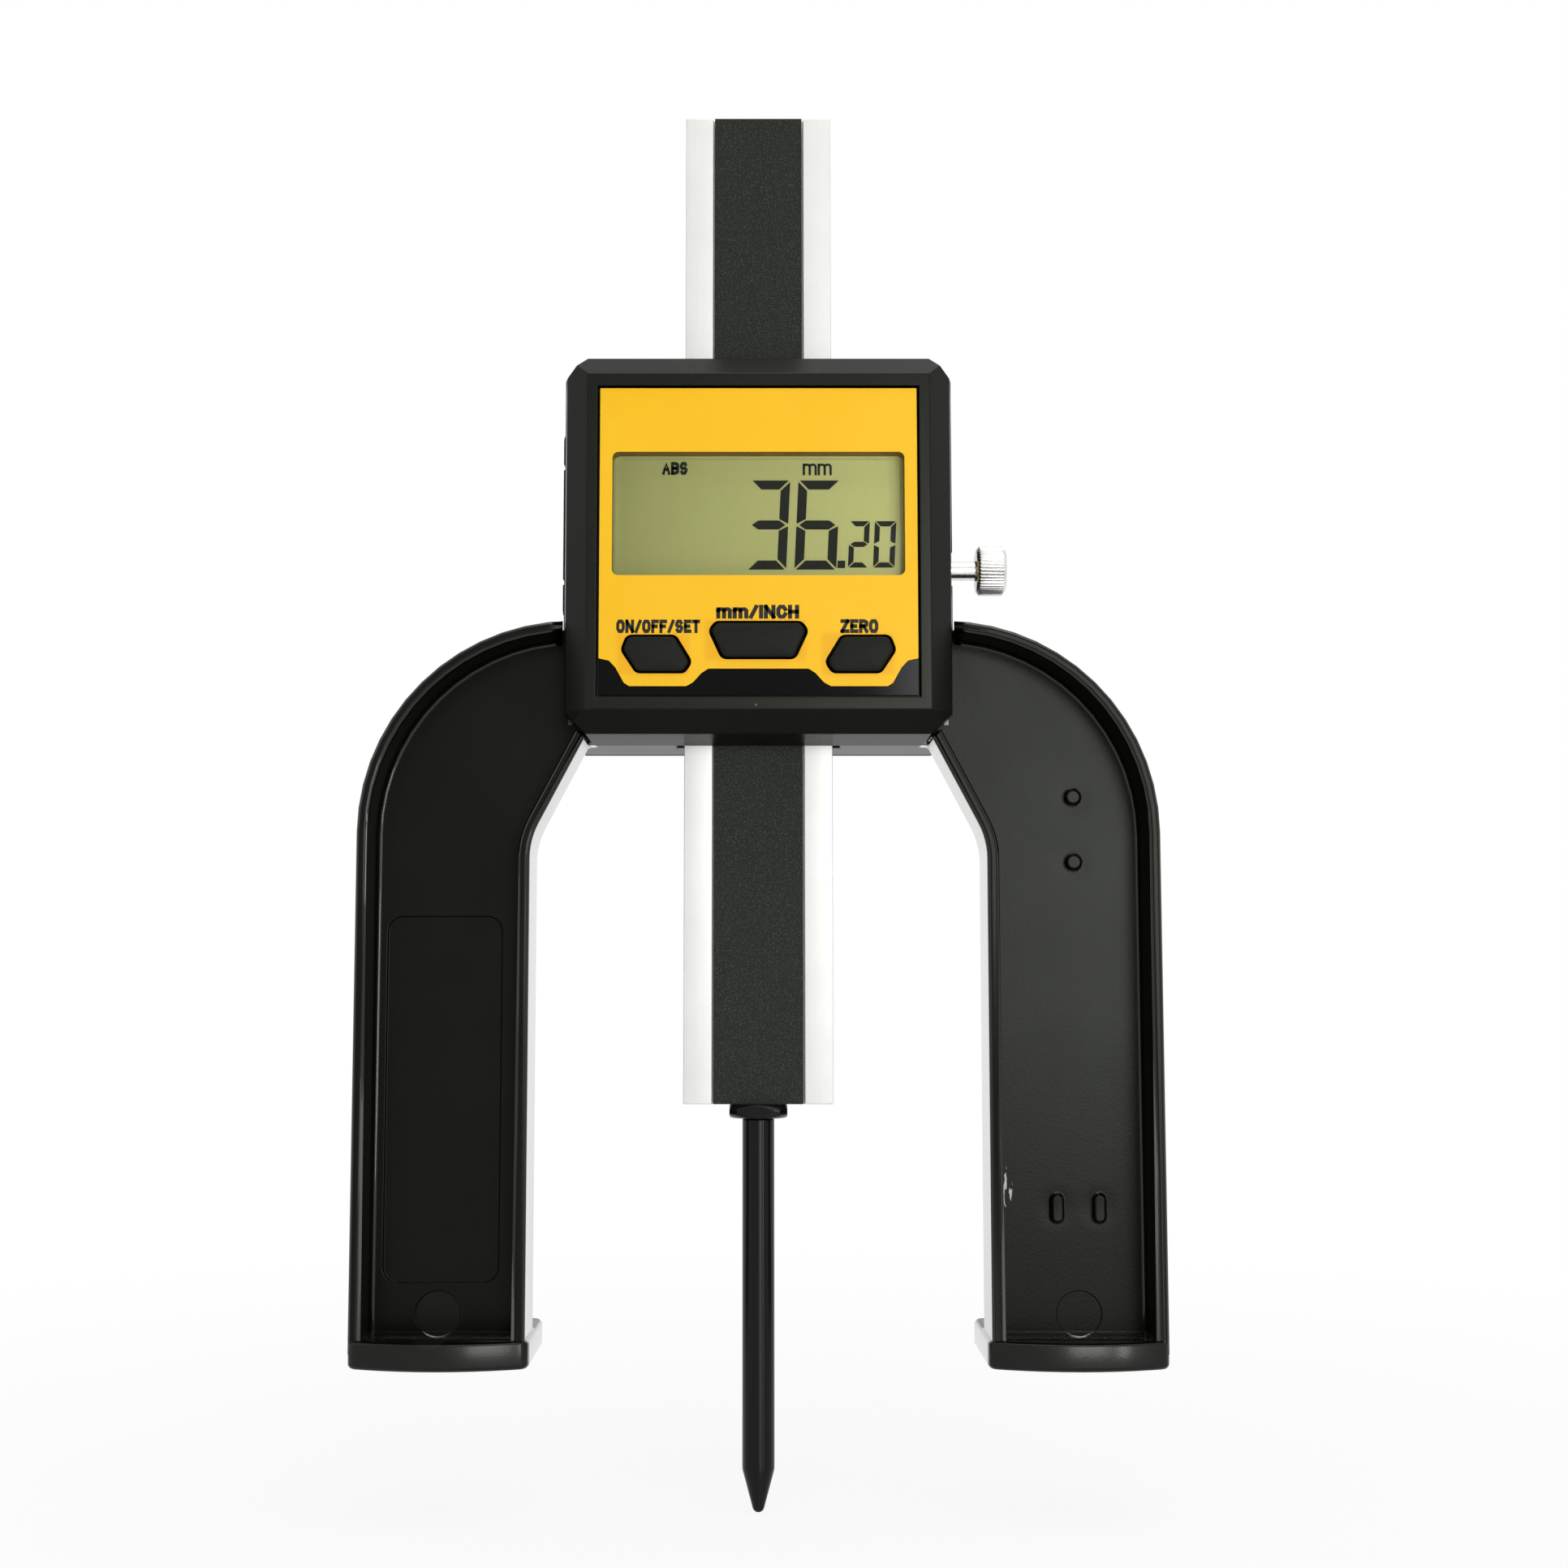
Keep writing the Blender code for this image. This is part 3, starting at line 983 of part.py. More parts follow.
def make_guides(stand, look):
    """Low-friction liners on both edges of the channel, the right one split at the shoe."""
    inner = RAIL_WIDTH / 2 + CLEAR
    outer = inner + GUIDE_THICKNESS
    front = SEAT_Y + CLEAR
    back = front + GUIDE_DEPTH
    low = BODY_BOTTOM_Z + BODY_WALL
    high = BODY_TOP_Z - BODY_WALL
    shoe_half = SHOE_BORE_RADIUS + CLEAR
    spans = [("guide_left", -outer, -inner, low, high),
             ("guide_right_lower", inner, outer, low, LOCK_Z - shoe_half),
             ("guide_right_upper", inner, outer, LOCK_Z + shoe_half, high)]
    for name, x0, x1, z0, z1 in spans:
        finish(mesh_object(name, [block((x0, front, z0), (x1, back, z1))]), look, stand, HARD_EDGE)


# Lock screw, its insert and the shoe that grips the rail

def make_lock(stand, brass_look, nickel_look):
    axis_place = (0, LOCK_Z)
    insert = mesh_object("screw_insert", [turned([
        (INSERT_RADIUS, INSERT_INNER_X), (INSERT_RADIUS, INSERT_OUTER_X)], "X", axis_place)])
    shank_bore = LOCK_SHANK_RADIUS + CLEAR
    bore = turned([(shank_bore, INSERT_INNER_X - OVERRUN),
                   (shank_bore, INSERT_OUTER_X + OVERRUN)], "X", axis_place)
    apply_boolean(insert, [bore], "DIFFERENCE")
    finish(insert, brass_look, stand)

    lock_axis = body_empty("lock_axis", (INSERT_OUTER_X, 0, LOCK_Z), stand)
    shoe = mesh_object("lock_pad", [turned([
        (SHOE_RADIUS - SHOE_BEVEL, SHOE_TIP_X), (SHOE_RADIUS, SHOE_TIP_X + SHOE_BEVEL),
        (SHOE_RADIUS, SHOE_END_X)], "X", axis_place)])
    finish(shoe, brass_look, lock_axis)

    shank_end = SHOE_END_X + CLEAR
    head_start = HALF_BODY + LOCK_HEAD_GAP
    head_end = head_start + LOCK_HEAD_LENGTH
    screw = mesh_object("lock_screw", [turned([
        (LOCK_SHANK_RADIUS - LOCK_SHANK_BEVEL, shank_end),
        (LOCK_SHANK_RADIUS, shank_end + LOCK_SHANK_BEVEL),
        (LOCK_SHANK_RADIUS, head_start + LOCK_HEAD_LENGTH / 2)], "X", axis_place)])
    apply_boolean(screw, [knurled_head(head_start, head_end)], "UNION")
    finish(screw, nickel_look, lock_axis)


def knurled_head(start, end):
    """Straight-knurled cylinder with bevelled ends."""
    rings = []
    valley = LOCK_HEAD_RADIUS - LOCK_TOOTH_DEPTH
    bevelled = valley - LOCK_HEAD_BEVEL
    for along, crest, root in ((start, bevelled, bevelled),
                               (start + LOCK_HEAD_BEVEL, LOCK_HEAD_RADIUS, valley),
                               (end - LOCK_HEAD_BEVEL, LOCK_HEAD_RADIUS, valley),
                               (end, bevelled, bevelled)):
        ring = []
        for step in range(2 * LOCK_TEETH):
            angle = pi * step / LOCK_TEETH
            radius = crest if step % 2 == 0 else root
            ring.append((along, radius * cos(angle), LOCK_Z + radius * sin(angle)))
        rings.append(ring)
    return loft(rings)


# Battery drawer, cell and contact

def make_battery(stand, black_look, steel_look, contact_look):
    drawer_axis = body_empty("drawer_axis", (DRAWER_OUTER_X, 0, DRAWER_Z), stand)
    tray = mesh_object("battery_drawer", [block(
        (DRAWER_FACE_BACK_X - DRAWER_FACE_THICKNESS / 2, DRAWER_FRONT, DRAWER_Z - TRAY_HALF_HEIGHT),
        (TRAY_END_X, TRAY_BACK_Y, DRAWER_Z + TRAY_HALF_HEIGHT))])
    middle = (DRAWER_FRONT + TRAY_BACK_Y) / 2
    face = prism(cut_corners(rectangle(DRAWER_FACE_DEPTH, DRAWER_FACE_HEIGHT, (middle, DRAWER_Z)),
                             DRAWER_CORNER_CUT), DRAWER_OUTER_X, DRAWER_FACE_BACK_X, "X")
    apply_boolean(tray, [face], "UNION")
    cell_front = DRAWER_FRONT + CELL_SUNK
    pocket = turned([(CELL_POCKET_RADIUS, DRAWER_FRONT - OVERRUN),
                     (CELL_POCKET_RADIUS, cell_front + CELL_THICKNESS + CLEAR)], "Y", (CELL_X, DRAWER_Z),
                    FINE_SIDES)
    apply_boolean(tray, [pocket], "DIFFERENCE")
    for place in (-DRAWER_NOTCH_SPACING / 2, DRAWER_NOTCH_SPACING / 2):
        notch_z = DRAWER_Z + place
        half_notch = DRAWER_NOTCH_WIDTH / 2
        notch = block((DRAWER_OUTER_X - OVERRUN, middle - DRAWER_FACE_DEPTH, notch_z - half_notch),
                      (DRAWER_OUTER_X + DRAWER_NOTCH_DEPTH, middle + DRAWER_FACE_DEPTH,
                       notch_z + half_notch))
        apply_boolean(tray, [notch], "DIFFERENCE")
    finish(tray, black_look, drawer_axis)

    cell_back = cell_front + CELL_THICKNESS
    cell = mesh_object("coin_cell", [turned([
        (CELL_CROWN_RADIUS, cell_front), (CELL_CROWN_RADIUS, cell_front + CELL_CROWN),
        (CELL_RADIUS - CELL_CROWN, cell_front + CELL_CROWN), (CELL_RADIUS, cell_front + 2 * CELL_CROWN),
        (CELL_RADIUS, cell_back - CELL_CROWN), (CELL_RADIUS - CELL_CROWN, cell_back)],
        "Y", (CELL_X, DRAWER_Z), FINE_SIDES)])
    finish(cell, steel_look, drawer_axis)

    tail = contact_tail_x()
    leaf = contact_leaf_y()
    leaf_end = DRAWER_FACE_BACK_X + CONTACT_FACE_GAP
    outline = [(tail, SEAT_Y), (tail + CONTACT_THICKNESS, SEAT_Y),
               (tail + CONTACT_THICKNESS, leaf + CONTACT_THICKNESS),
               (leaf_end, leaf + CONTACT_THICKNESS), (leaf_end, leaf), (tail, leaf)]
    strip = mesh_object("battery_contact", [prism(outline, DRAWER_Z - CONTACT_WIDTH / 2,
                                                  DRAWER_Z + CONTACT_WIDTH / 2, "Z")])
    finish(strip, contact_look, stand, HARD_EDGE)


# Rear cover, case screws and magnets

def make_rear(stand, black_look, steel_look):
    width = BODY_WIDTH - 2 * BODY_DRAFT
    stations = [(along, cut_corners(rectangle(width - 2 * shrink, BODY_HEIGHT - 2 * shrink, (0, HEAD_Z)),
                                    BODY_CORNER_CUT))
                for along, shrink in ((REAR_COVER_FRONT_Y, 0), (REAR_COVER_BACK_Y - REAR_COVER_BEVEL, 0),
                                      (REAR_COVER_BACK_Y, REAR_COVER_BEVEL))]
    cover = mesh_object("rear_cover", [stacked(stations)])
    head_seat = REAR_COVER_BACK_Y - CASE_SCREW_HEAD_THICKNESS - CLEAR
    for place in case_screw_places():
        hole = turned([(CASE_SCREW_RADIUS + CLEAR, REAR_COVER_FRONT_Y - OVERRUN),
                       (CASE_SCREW_RADIUS + CLEAR, head_seat), (CASE_SCREW_HEAD_RADIUS + CLEAR, head_seat),
                       (CASE_SCREW_HEAD_RADIUS + CLEAR, REAR_COVER_BACK_Y + OVERRUN)], "Y", place)
        apply_boolean(cover, [hole], "DIFFERENCE")
    finish(cover, black_look, stand, HARD_EDGE)

    head_front = head_seat + CLEAR
    head_back = head_front + CASE_SCREW_HEAD_THICKNESS
    for number, (x, z) in enumerate(case_screw_places(), 1):
        screw = mesh_object(f"case_screw_{number}", [turned([
            (CASE_SCREW_RADIUS, COVER_BACK_Y - CASE_SCREW_GRIP), (CASE_SCREW_RADIUS, head_front),
            (CASE_SCREW_HEAD_RADIUS, head_front), (CASE_SCREW_HEAD_RADIUS, head_back)],
            "Y", (x, z), SMALL_SIDES)])
        for long_x, long_z in ((CROSS_LENGTH, CROSS_WIDTH), (CROSS_WIDTH, CROSS_LENGTH)):
            slot = block((x - long_x / 2, head_back - CROSS_DEPTH, z - long_z / 2),
                         (x + long_x / 2, head_back + OVERRUN, z + long_z / 2))
            apply_boolean(screw, [slot], "DIFFERENCE")
        finish(screw, steel_look, stand)


def make_magnets(stand, look):
    low = SOLE_Z + MAGNET_SUNK
    for number, x in enumerate([side * FOOT_X + place for side in (-1, 1)
                                for place in (-MAGNET_SPACING / 2, MAGNET_SPACING / 2)], 1):
        magnet = turned([(MAGNET_RADIUS, low), (MAGNET_RADIUS, low + MAGNET_THICKNESS)],
                        "Z", (x, MAGNET_SETBACK))
        finish(mesh_object(f"foot_magnet_{number}", [magnet]), look, stand)


def main():
    for old in list(bpy.data.objects):
        bpy.data.objects.remove(old, do_unlink=True)
    black = material("black_abs", (0.013, 0.013, 0.012), 0.35)
    gloss = material("gloss_black", (0.008, 0.008, 0.008), 0.08)
    yellow = material("yellow_film", (0.93, 0.53, 0.035), 0.35)
    clear = material("clear_lens", (0.9, 0.92, 0.88), 0.05, alpha=0.3)
    lcd = material("lcd_glass", (0.34, 0.37, 0.16), 0.3)
    rubber = material("black_rubber", (0.018, 0.018, 0.018), 0.6)
    board = material("green_board", (0.02, 0.13, 0.05), 0.5)
    steel = material("steel", (0.55, 0.55, 0.54), 0.3, 1.0)
    nickel = material("nickel_plate", (0.72, 0.71, 0.69), 0.2, 1.0)
    brass = material("brass", (0.72, 0.52, 0.22), 0.3, 1.0)
    aluminium = material("satin_aluminium", (0.8, 0.8, 0.79), 0.4, 1.0)
    strip = material("scale_laminate", (0.025, 0.027, 0.024), 0.45)
    probe = material("black_oxide", (0.012, 0.012, 0.012), 0.15, 0.6)
    acetal = material("white_acetal", (0.8, 0.8, 0.78), 0.4)

    stand = body_empty("stand", (0, 0, 0))
    rail_axis = body_empty("rail_axis", (0, 0, 0), stand)
    make_arch_frame(stand, black)
    make_front_cover(stand, black)
    make_face_plate(stand, gloss)
    make_face_label(stand, yellow)
    make_display(stand, clear, lcd, rubber)
    make_board(stand, board, black, steel, steel)
    make_guides(stand, acetal)
    make_rear(stand, black, steel)
    make_magnets(stand, nickel)
    make_rail(rail_axis, aluminium, strip, steel, probe)
    make_lock(stand, brass, nickel)
    make_battery(stand, black, steel, brass)
    make_buttons(stand, rubber)


main()
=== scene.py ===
"""Digital depth gauge: an arched stand, a display head, a flat rail with a scale strip and a
probe rod. Metres, +Z up, +X to the right of the display, which faces -Y. The origin is the
probe's tip, on the rail's middle plane.
"""
import bmesh
import bpy
import numpy as np
from math import pi, radians, tan
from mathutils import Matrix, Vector


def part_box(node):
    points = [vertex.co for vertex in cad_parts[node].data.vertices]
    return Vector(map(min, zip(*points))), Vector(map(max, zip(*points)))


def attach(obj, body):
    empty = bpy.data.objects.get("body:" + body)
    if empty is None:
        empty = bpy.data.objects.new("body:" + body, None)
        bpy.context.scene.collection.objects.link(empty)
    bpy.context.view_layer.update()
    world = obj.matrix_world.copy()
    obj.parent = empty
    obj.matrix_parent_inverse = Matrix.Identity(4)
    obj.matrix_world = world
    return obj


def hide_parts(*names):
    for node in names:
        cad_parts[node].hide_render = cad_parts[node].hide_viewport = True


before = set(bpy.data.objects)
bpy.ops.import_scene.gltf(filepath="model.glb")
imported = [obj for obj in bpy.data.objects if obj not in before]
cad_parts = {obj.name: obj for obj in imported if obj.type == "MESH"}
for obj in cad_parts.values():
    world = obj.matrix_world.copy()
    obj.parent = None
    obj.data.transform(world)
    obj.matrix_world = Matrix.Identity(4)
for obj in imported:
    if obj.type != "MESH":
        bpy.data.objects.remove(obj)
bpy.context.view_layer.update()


# Studio. The gauge hangs over a pale floor in a white room, as on a shop page, with the camera low
# down and tilted up in front of the display. The right leg mirrors the soft box at the front right,
# and the low strip draws the thin bright lines on the probe and on rounded edges.

PHOTO_PX = 1932
FOCAL_PX = 2580
AXIS_PX = 930.7
SENSOR_MM = 36
CAMERA_TILT = radians(5.38)
CAMERA_PLACE = (-0.0004, -0.2811, 0.0691)
LAMP_AIM = Vector((0, 0, 0.1))
WHITE = (1, 1, 1, 1)
PAPER = (0.97, 0.97, 0.97, 1)
FLOOR_HALF = 3.0
FLOOR_Z = -0.0002
ROOM_LIGHT = 0.2
GLOW_NEAR = 0.9
GLOW_REACH = 0.3

LAMPS = (
    ("overhead_soft_box", (0.08, -0.14, 0.72), (0.50, 0.50), 1.8),
    ("right_soft_box", (0.18, -0.65, 0.14), (0.24, 0.27), 2.1),
    ("left_soft_box", (-0.60, -0.30, 0.30), (0.30, 0.30), 0.25),
    ("low_strip", (0.26, -0.37, 0.05), (0.03, 0.10), 0.24),
)
scene = bpy.context.scene


def placed(name, data):
    """A new object in the scene, at the origin."""
    made = bpy.data.objects.new(name, data)
    scene.collection.objects.link(made)
    return made


def feed(made, inputs):
    """A socket given for an input is linked to it, and a plain value is written on it."""
    for name, value in inputs.items():
        if isinstance(value, bpy.types.NodeSocket):
            made.id_data.links.new(value, made.inputs[name])
        else:
            made.inputs[name].default_value = value


def node(tree, kind, inputs=None, **settings):
    """One shader node, first set and then fed."""
    made = tree.nodes.new("ShaderNode" + kind)
    for name, value in settings.items():
        setattr(made, name, value)
    feed(made, inputs or {})
    return made


def maths(tree, operation, *values):
    """One sum on plain numbers and on values that change over the surface."""
    return node(tree, "Math", dict(enumerate(values)), operation=operation).outputs[0]


def vector_maths(tree, operation, *values):
    """One sum on points and directions. A length and a distance come out as one value."""
    made = node(tree, "VectorMath", dict(enumerate(values)), operation=operation)
    return made.outputs["Value" if operation in ("LENGTH", "DISTANCE") else "Vector"]


def ramp(tree, value, low, high, first=0.0, last=1.0, step="LINEAR"):
    """The first number at one bound and beyond it, the last one at the other, and a straight line or a
    soft step between them. The bounds may be swapped."""
    return node(tree, "MapRange", {
        "Value": value, "From Min": low, "From Max": high, "To Min": first, "To Max": last},
        interpolation_type=step).outputs[0]


def object_place(tree):
    """The place of each point of the surface, in metres."""
    return node(tree, "TexCoord").outputs["Object"]


def new_look(name):
    """A new material, with one plain shader in it."""
    made = bpy.data.materials.new(name)
    made.use_nodes = True
    return made


def straight_sight(tree):
    """1 for what the camera sees directly, in a mirror or through a pane, and 0 for the light itself."""
    path = node(tree, "LightPath").outputs
    seen = maths(tree, "MAXIMUM", path["Is Camera Ray"], path["Is Glossy Ray"])
    return maths(tree, "MAXIMUM", seen, path["Is Transmission Ray"])


room = bpy.data.worlds.new("white_room")
scene.world = room
room.use_nodes = True
tree = room.node_tree
tree.nodes.clear()
room_light = node(tree, "Background", {"Color": WHITE, "Strength": ROOM_LIGHT}).outputs[0]
room_white = node(tree, "Background", {"Color": WHITE, "Strength": 1}).outputs[0]
room_mix = node(tree, "MixShader", {0: straight_sight(tree), 1: room_light, 2: room_white})
node(tree, "OutputWorld", {"Surface": room_mix.outputs[0]})

floor_mesh = bpy.data.meshes.new("floor")
floor_corners = [(x * FLOOR_HALF, y * FLOOR_HALF, FLOOR_Z) for x, y in ((-1, -1), (1, -1), (1, 1), (-1, 1))]
floor_mesh.from_pydata(floor_corners, [], [(0, 1, 2, 3)])
floor = placed("floor", floor_mesh)
floor_look = new_look("white_paper_floor")
tree = floor_look.node_tree
tree.nodes.clear()
paper = node(tree, "BsdfDiffuse", {"Color": PAPER}).outputs[0]
glow = node(tree, "Emission", {"Color": WHITE, "Strength": 1}).outputs[0]
away = vector_maths(tree, "LENGTH", object_place(tree))
bare = ramp(tree, away, 0.0, GLOW_REACH, GLOW_NEAR, 1.0, "SMOOTHSTEP")
share = maths(tree, "MULTIPLY", straight_sight(tree), bare)
mixed = node(tree, "MixShader", {0: share, 1: paper, 2: glow})
node(tree, "OutputMaterial", {"Surface": mixed.outputs[0]})
floor_mesh.materials.append(floor_look)

for name, place, size, power in LAMPS:
    lamp_data = bpy.data.lights.new(name, "AREA")
    lamp_data.shape = "RECTANGLE"
    lamp_data.size, lamp_data.size_y = size
    lamp_data.energy = power
    lamp = placed(name, lamp_data)
    lamp.location = place
    lamp.rotation_euler = (LAMP_AIM - Vector(place)).to_track_quat("-Z", "Y").to_euler()

camera_data = bpy.data.cameras.new("camera")
camera_data.sensor_width = SENSOR_MM
camera_data.lens = SENSOR_MM * FOCAL_PX / PHOTO_PX
camera_data.shift_x = (PHOTO_PX / 2 - AXIS_PX) / PHOTO_PX
camera = placed("camera", camera_data)
camera.location = CAMERA_PLACE
camera.rotation_euler = (pi / 2 + CAMERA_TILT, 0, 0)
bpy.context.scene.camera = camera
bpy.context.scene.view_settings.view_transform = "Standard"


# Arch: one ABS moulding with two legs, two feet and the rear body of the head. It comes black and
# fine-textured out of a spark-eroded mould, glossier where the mould was polished, with soft edges.

def shared(name, takes):
    """An empty effect. Its inputs start at the given values, and it gives colour, roughness, normal."""
    group = bpy.data.node_groups.new(name, "ShaderNodeTree")
    kinds = {float: "NodeSocketFloat", tuple: "NodeSocketColor"}
    for label, value in takes.items():
        socket = group.interface.new_socket(label, in_out="INPUT", socket_type=kinds[type(value)])
        socket.default_value = value
    for label, kind in (("Colour", "Color"), ("Roughness", "Float"), ("Normal", "Vector")):
        group.interface.new_socket(label, in_out="OUTPUT", socket_type="NodeSocket" + kind)
    return group, group.nodes.new("NodeGroupInput").outputs, group.nodes.new("NodeGroupOutput")


def relief(tree, height, depth):
    """The surface's normal over a fine relief."""
    return node(tree, "Bump", {"Height": height, "Distance": depth}).outputs[0]


def give_out(group, takes, end, colour, drift, normal):
    """The effect's results. The roughness moves with the drift's distance from its mean, 0.5."""
    moved = maths(group, "SUBTRACT", drift, 0.5)
    rough = maths(group, "MULTIPLY_ADD", moved, takes["Roughness Drift"], takes["Roughness"])
    feed(end, {"Colour": colour, "Roughness": rough, "Normal": normal})
    return group


def noise(tree, place, scale, detail=2.0, distortion=0.0):
    """A cloudy pattern from 0 to 1."""
    return node(tree, "TexNoise", {
        "Vector": place, "Scale": scale, "Detail": detail, "Distortion": distortion}).outputs[0]


def product(tree, *values):
    """All the given values multiplied together."""
    result = values[0]
    for value in values[1:]:
        result = maths(tree, "MULTIPLY", result, value)
    return result


def tinted(tree, share, under, over, **settings):
    """Two colours mixed by a share."""
    return node(tree, "Mix", {0: share, 6: under, 7: over}, data_type="RGBA", **settings).outputs[2]


def moulded_group():
    """Moulded plastic: a slow drift between two tones and two roughnesses, a fine pebbled grain as a
    bump, and a few pale specks of dust where the cells of a coarse pattern come to a point."""
    group, takes, end = shared("moulded_plastic", {
        "Colour": (0.01, 0.01, 0.01, 1.0), "Worn Colour": (0.02, 0.02, 0.02, 1.0), "Roughness": 0.4,
        "Roughness Drift": 0.1, "Grain Size": 0.0003, "Grain Depth": 0.00001, "Dust": 0.3})
    place = object_place(group)
    grain = noise(group, place, maths(group, "DIVIDE", 1.0, takes["Grain Size"]))
    drift = noise(group, place, 70.0, 3.0, 0.4)
    cells = node(group, "TexVoronoi", {"Vector": place, "Scale": 170.0}).outputs
    speck = ramp(group, cells["Distance"], 0.028, 0.018)
    chosen = node(group, "SeparateColor", {"Color": cells["Color"]})
    rare = maths(group, "GREATER_THAN", chosen.outputs[0], 0.93)
    dust = product(group, speck, rare, takes["Dust"])
    tone = tinted(group, ramp(group, drift, 0.35, 0.7), takes["Colour"], takes["Worn Colour"])
    dusty = tinted(group, dust, tone, (0.55, 0.55, 0.52, 1))
    return give_out(group, takes, end, dusty, drift, relief(group, grain, takes["Grain Depth"]))


def shader_of(look):
    """A material's own shader."""
    return look.node_tree.nodes["Principled BSDF"]


def finish_from(name, group, settings, **plain):
    """A material whose shader is driven by a shared effect, with plain values on the rest."""
    made = new_look(name)
    effect = node(made.node_tree, "Group", settings, node_tree=group).outputs
    driven = {"Base Color": effect["Colour"], "Roughness": effect["Roughness"], "Normal": effect["Normal"]}
    feed(shader_of(made), driven | {label.replace("_", " "): value for label, value in plain.items()})
    return made


def plastic(name, colour, worn, rough, drift, grain, depth, dust, **plain):
    """A moulded finish: two colours, the roughness and its drift, the grain's size and depth, dust."""
    return finish_from(name, moulded, {
        "Colour": (*colour, 1), "Worn Colour": (*worn, 1), "Roughness": rough, "Roughness Drift": drift,
        "Grain Size": grain, "Grain Depth": depth, "Dust": dust}, **plain)


def dressed(name, source, body, look, width, angle=30, segments=3, plain=()):
    """A merged copy of a CAD node with its flat faces joined. Each sharp edge is rounded to the given
    width, or to 0.4 of the narrower of the two faces beside it. Edges inside a plain range, given as
    least and most distance from the middle and least and most height, stay as they are."""
    bm = bmesh.new()
    bm.from_mesh(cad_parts[source].data)
    bmesh.ops.remove_doubles(bm, verts=bm.verts, dist=1e-6)
    bmesh.ops.dissolve_limit(bm, angle_limit=radians(0.3), verts=bm.verts, edges=bm.edges)
    share = bm.edges.layers.float.new("bevel_weight_edge")
    for edge in bm.edges:
        calm = any(all(near < abs(vert.co.x) < far and low < vert.co.z < high for vert in edge.verts)
                   for near, far, low, high in plain)
        if calm or edge.calc_face_angle(0) < radians(angle):
            continue
        start = edge.verts[0].co
        along = (edge.verts[1].co - start).normalized()
        reach = [max((vert.co - start).cross(along).length for vert in face.verts)
                 for face in edge.link_faces]
        edge[share] = min(1, 0.4 * min(reach) / width)
    mesh = bpy.data.meshes.new(name)
    bm.to_mesh(mesh)
    bm.free()
    mesh.materials.clear()
    mesh.materials.append(look)
    mesh.shade_smooth()
    made = placed(name, mesh)
    edge = made.modifiers.new("Edge", "BEVEL")
    edge.width = width
    edge.segments = segments
    edge.limit_method = "WEIGHT"
    edge.use_clamp_overlap = False
    flat = made.modifiers.new("Flat faces", "WEIGHTED_NORMAL")
    flat.weight = 90
    flat.keep_sharp = False
    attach(made, body)
    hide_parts(source)


moulded = moulded_group()
ARCH_EDGE = 0.00034
PLAIN_EDGES = ((0.0, 0.06, 0.0230, 0.0236), (0.0255, 0.0266, 0.1140, 0.1170),
               (0.0250, 0.0264, 0.1185, 0.1452))
POLISHED_BELOW = 0.0236
POLISHED_ROUGH = 0.17
INNER_WALL = 0.0298
ELBOW_Z = 0.0883
ELBOW_LEAN = 0.59
WALL_FRONT = -0.0086
WALL_BACK = 0.0010
EDGE_BANDS = ((-0.00899, -0.0089, -0.0086, -0.0083), (-0.0023, -0.0019, -0.00157, -0.00151))
EDGE_SHINE = 0.5
FOOT_FRONT_SHINE = 0.2
COAT_HAZE = (0.06, 0.32)
SPECULAR_LEVELS = (0.11, 1.0)
MARK_PLACE = (0.0418, 0.0257, 0)
MARK_RADIUS = 0.003
MARK_GREY = (0.0065, 0.007, 0.006, 1)
PIT_BLACK = (0.0005, 0.0005, 0.0005, 1)
SCUFF_PLACE = (0.0327, -0.0016, 0.0421)
SCUFF_SIZE = (0.0008, 0.002, 0.0028)
SCUFF_STREAKS = (1500, 1500, 420)
SCUFF_PALE = (0.5, 0.5, 0.48, 1)
SINK_PLACES = ((0.0420, 0.0935), (0.0420, 0.0848), (0.0392, 0.0395), (0.0447, 0.0395))
SINK_REACH = 0.0034
SINK_DEPTH = 0.00006


def between(tree, value, low, high):
    """0 at one bound and below, 1 at the other and above, with a soft step. The bounds may be swapped."""
    return ramp(tree, value, low, high, step="SMOOTHSTEP")


def blend(tree, share, low, high):
    """Two values mixed by a share."""
    return node(tree, "Mix", {0: share, 2: low, 3: high}).outputs[0]


def combined(tree, first, second):
    """A point from its first two places."""
    return node(tree, "CombineXYZ", {0: first, 1: second}).outputs[0]


def axes_of(tree):
    """The place along X, Y and Z, each as one value."""
    return node(tree, "SeparateXYZ", {0: object_place(tree)}).outputs


def fed_by(shader, name):
    """What already drives one of the shader's inputs."""
    return shader.inputs[name].links[0].from_socket


arch_look = plastic("black_abs_fine_texture", (0.0014, 0.0017, 0.0011), (0.0026, 0.0030, 0.0020), rough=0.31,
                    drift=0.1, grain=0.00035, depth=0.000010, dust=0.5, Specular_Tint=(0.96, 1.0, 0.87, 1),
                    Coat_IOR=1.6)
tree = arch_look.node_tree
shader = shader_of(arch_look)
place = object_place(tree)
x, y, z = axes_of(tree)
aside = maths(tree, "ABSOLUTE", x)
foot = between(tree, z, POLISHED_BELOW, POLISHED_BELOW - 0.0004)
behind = between(tree, y, WALL_FRONT - 0.0002, WALL_FRONT + 0.0001)
past_elbow = maths(tree, "MAXIMUM", maths(tree, "SUBTRACT", z, ELBOW_Z), 0.0)
upright = maths(tree, "MULTIPLY_ADD", past_elbow, ELBOW_LEAN, aside)
wall = product(tree, between(tree, upright, INNER_WALL + 0.0005, INNER_WALL + 0.0003), behind,
               between(tree, upright, INNER_WALL - 0.0008, INNER_WALL - 0.0005),
               between(tree, y, WALL_BACK + 0.0002, WALL_BACK))
bands = [product(tree, between(tree, y, band[0], band[1]), between(tree, y, band[3], band[2]))
         for band in EDGE_BANDS]
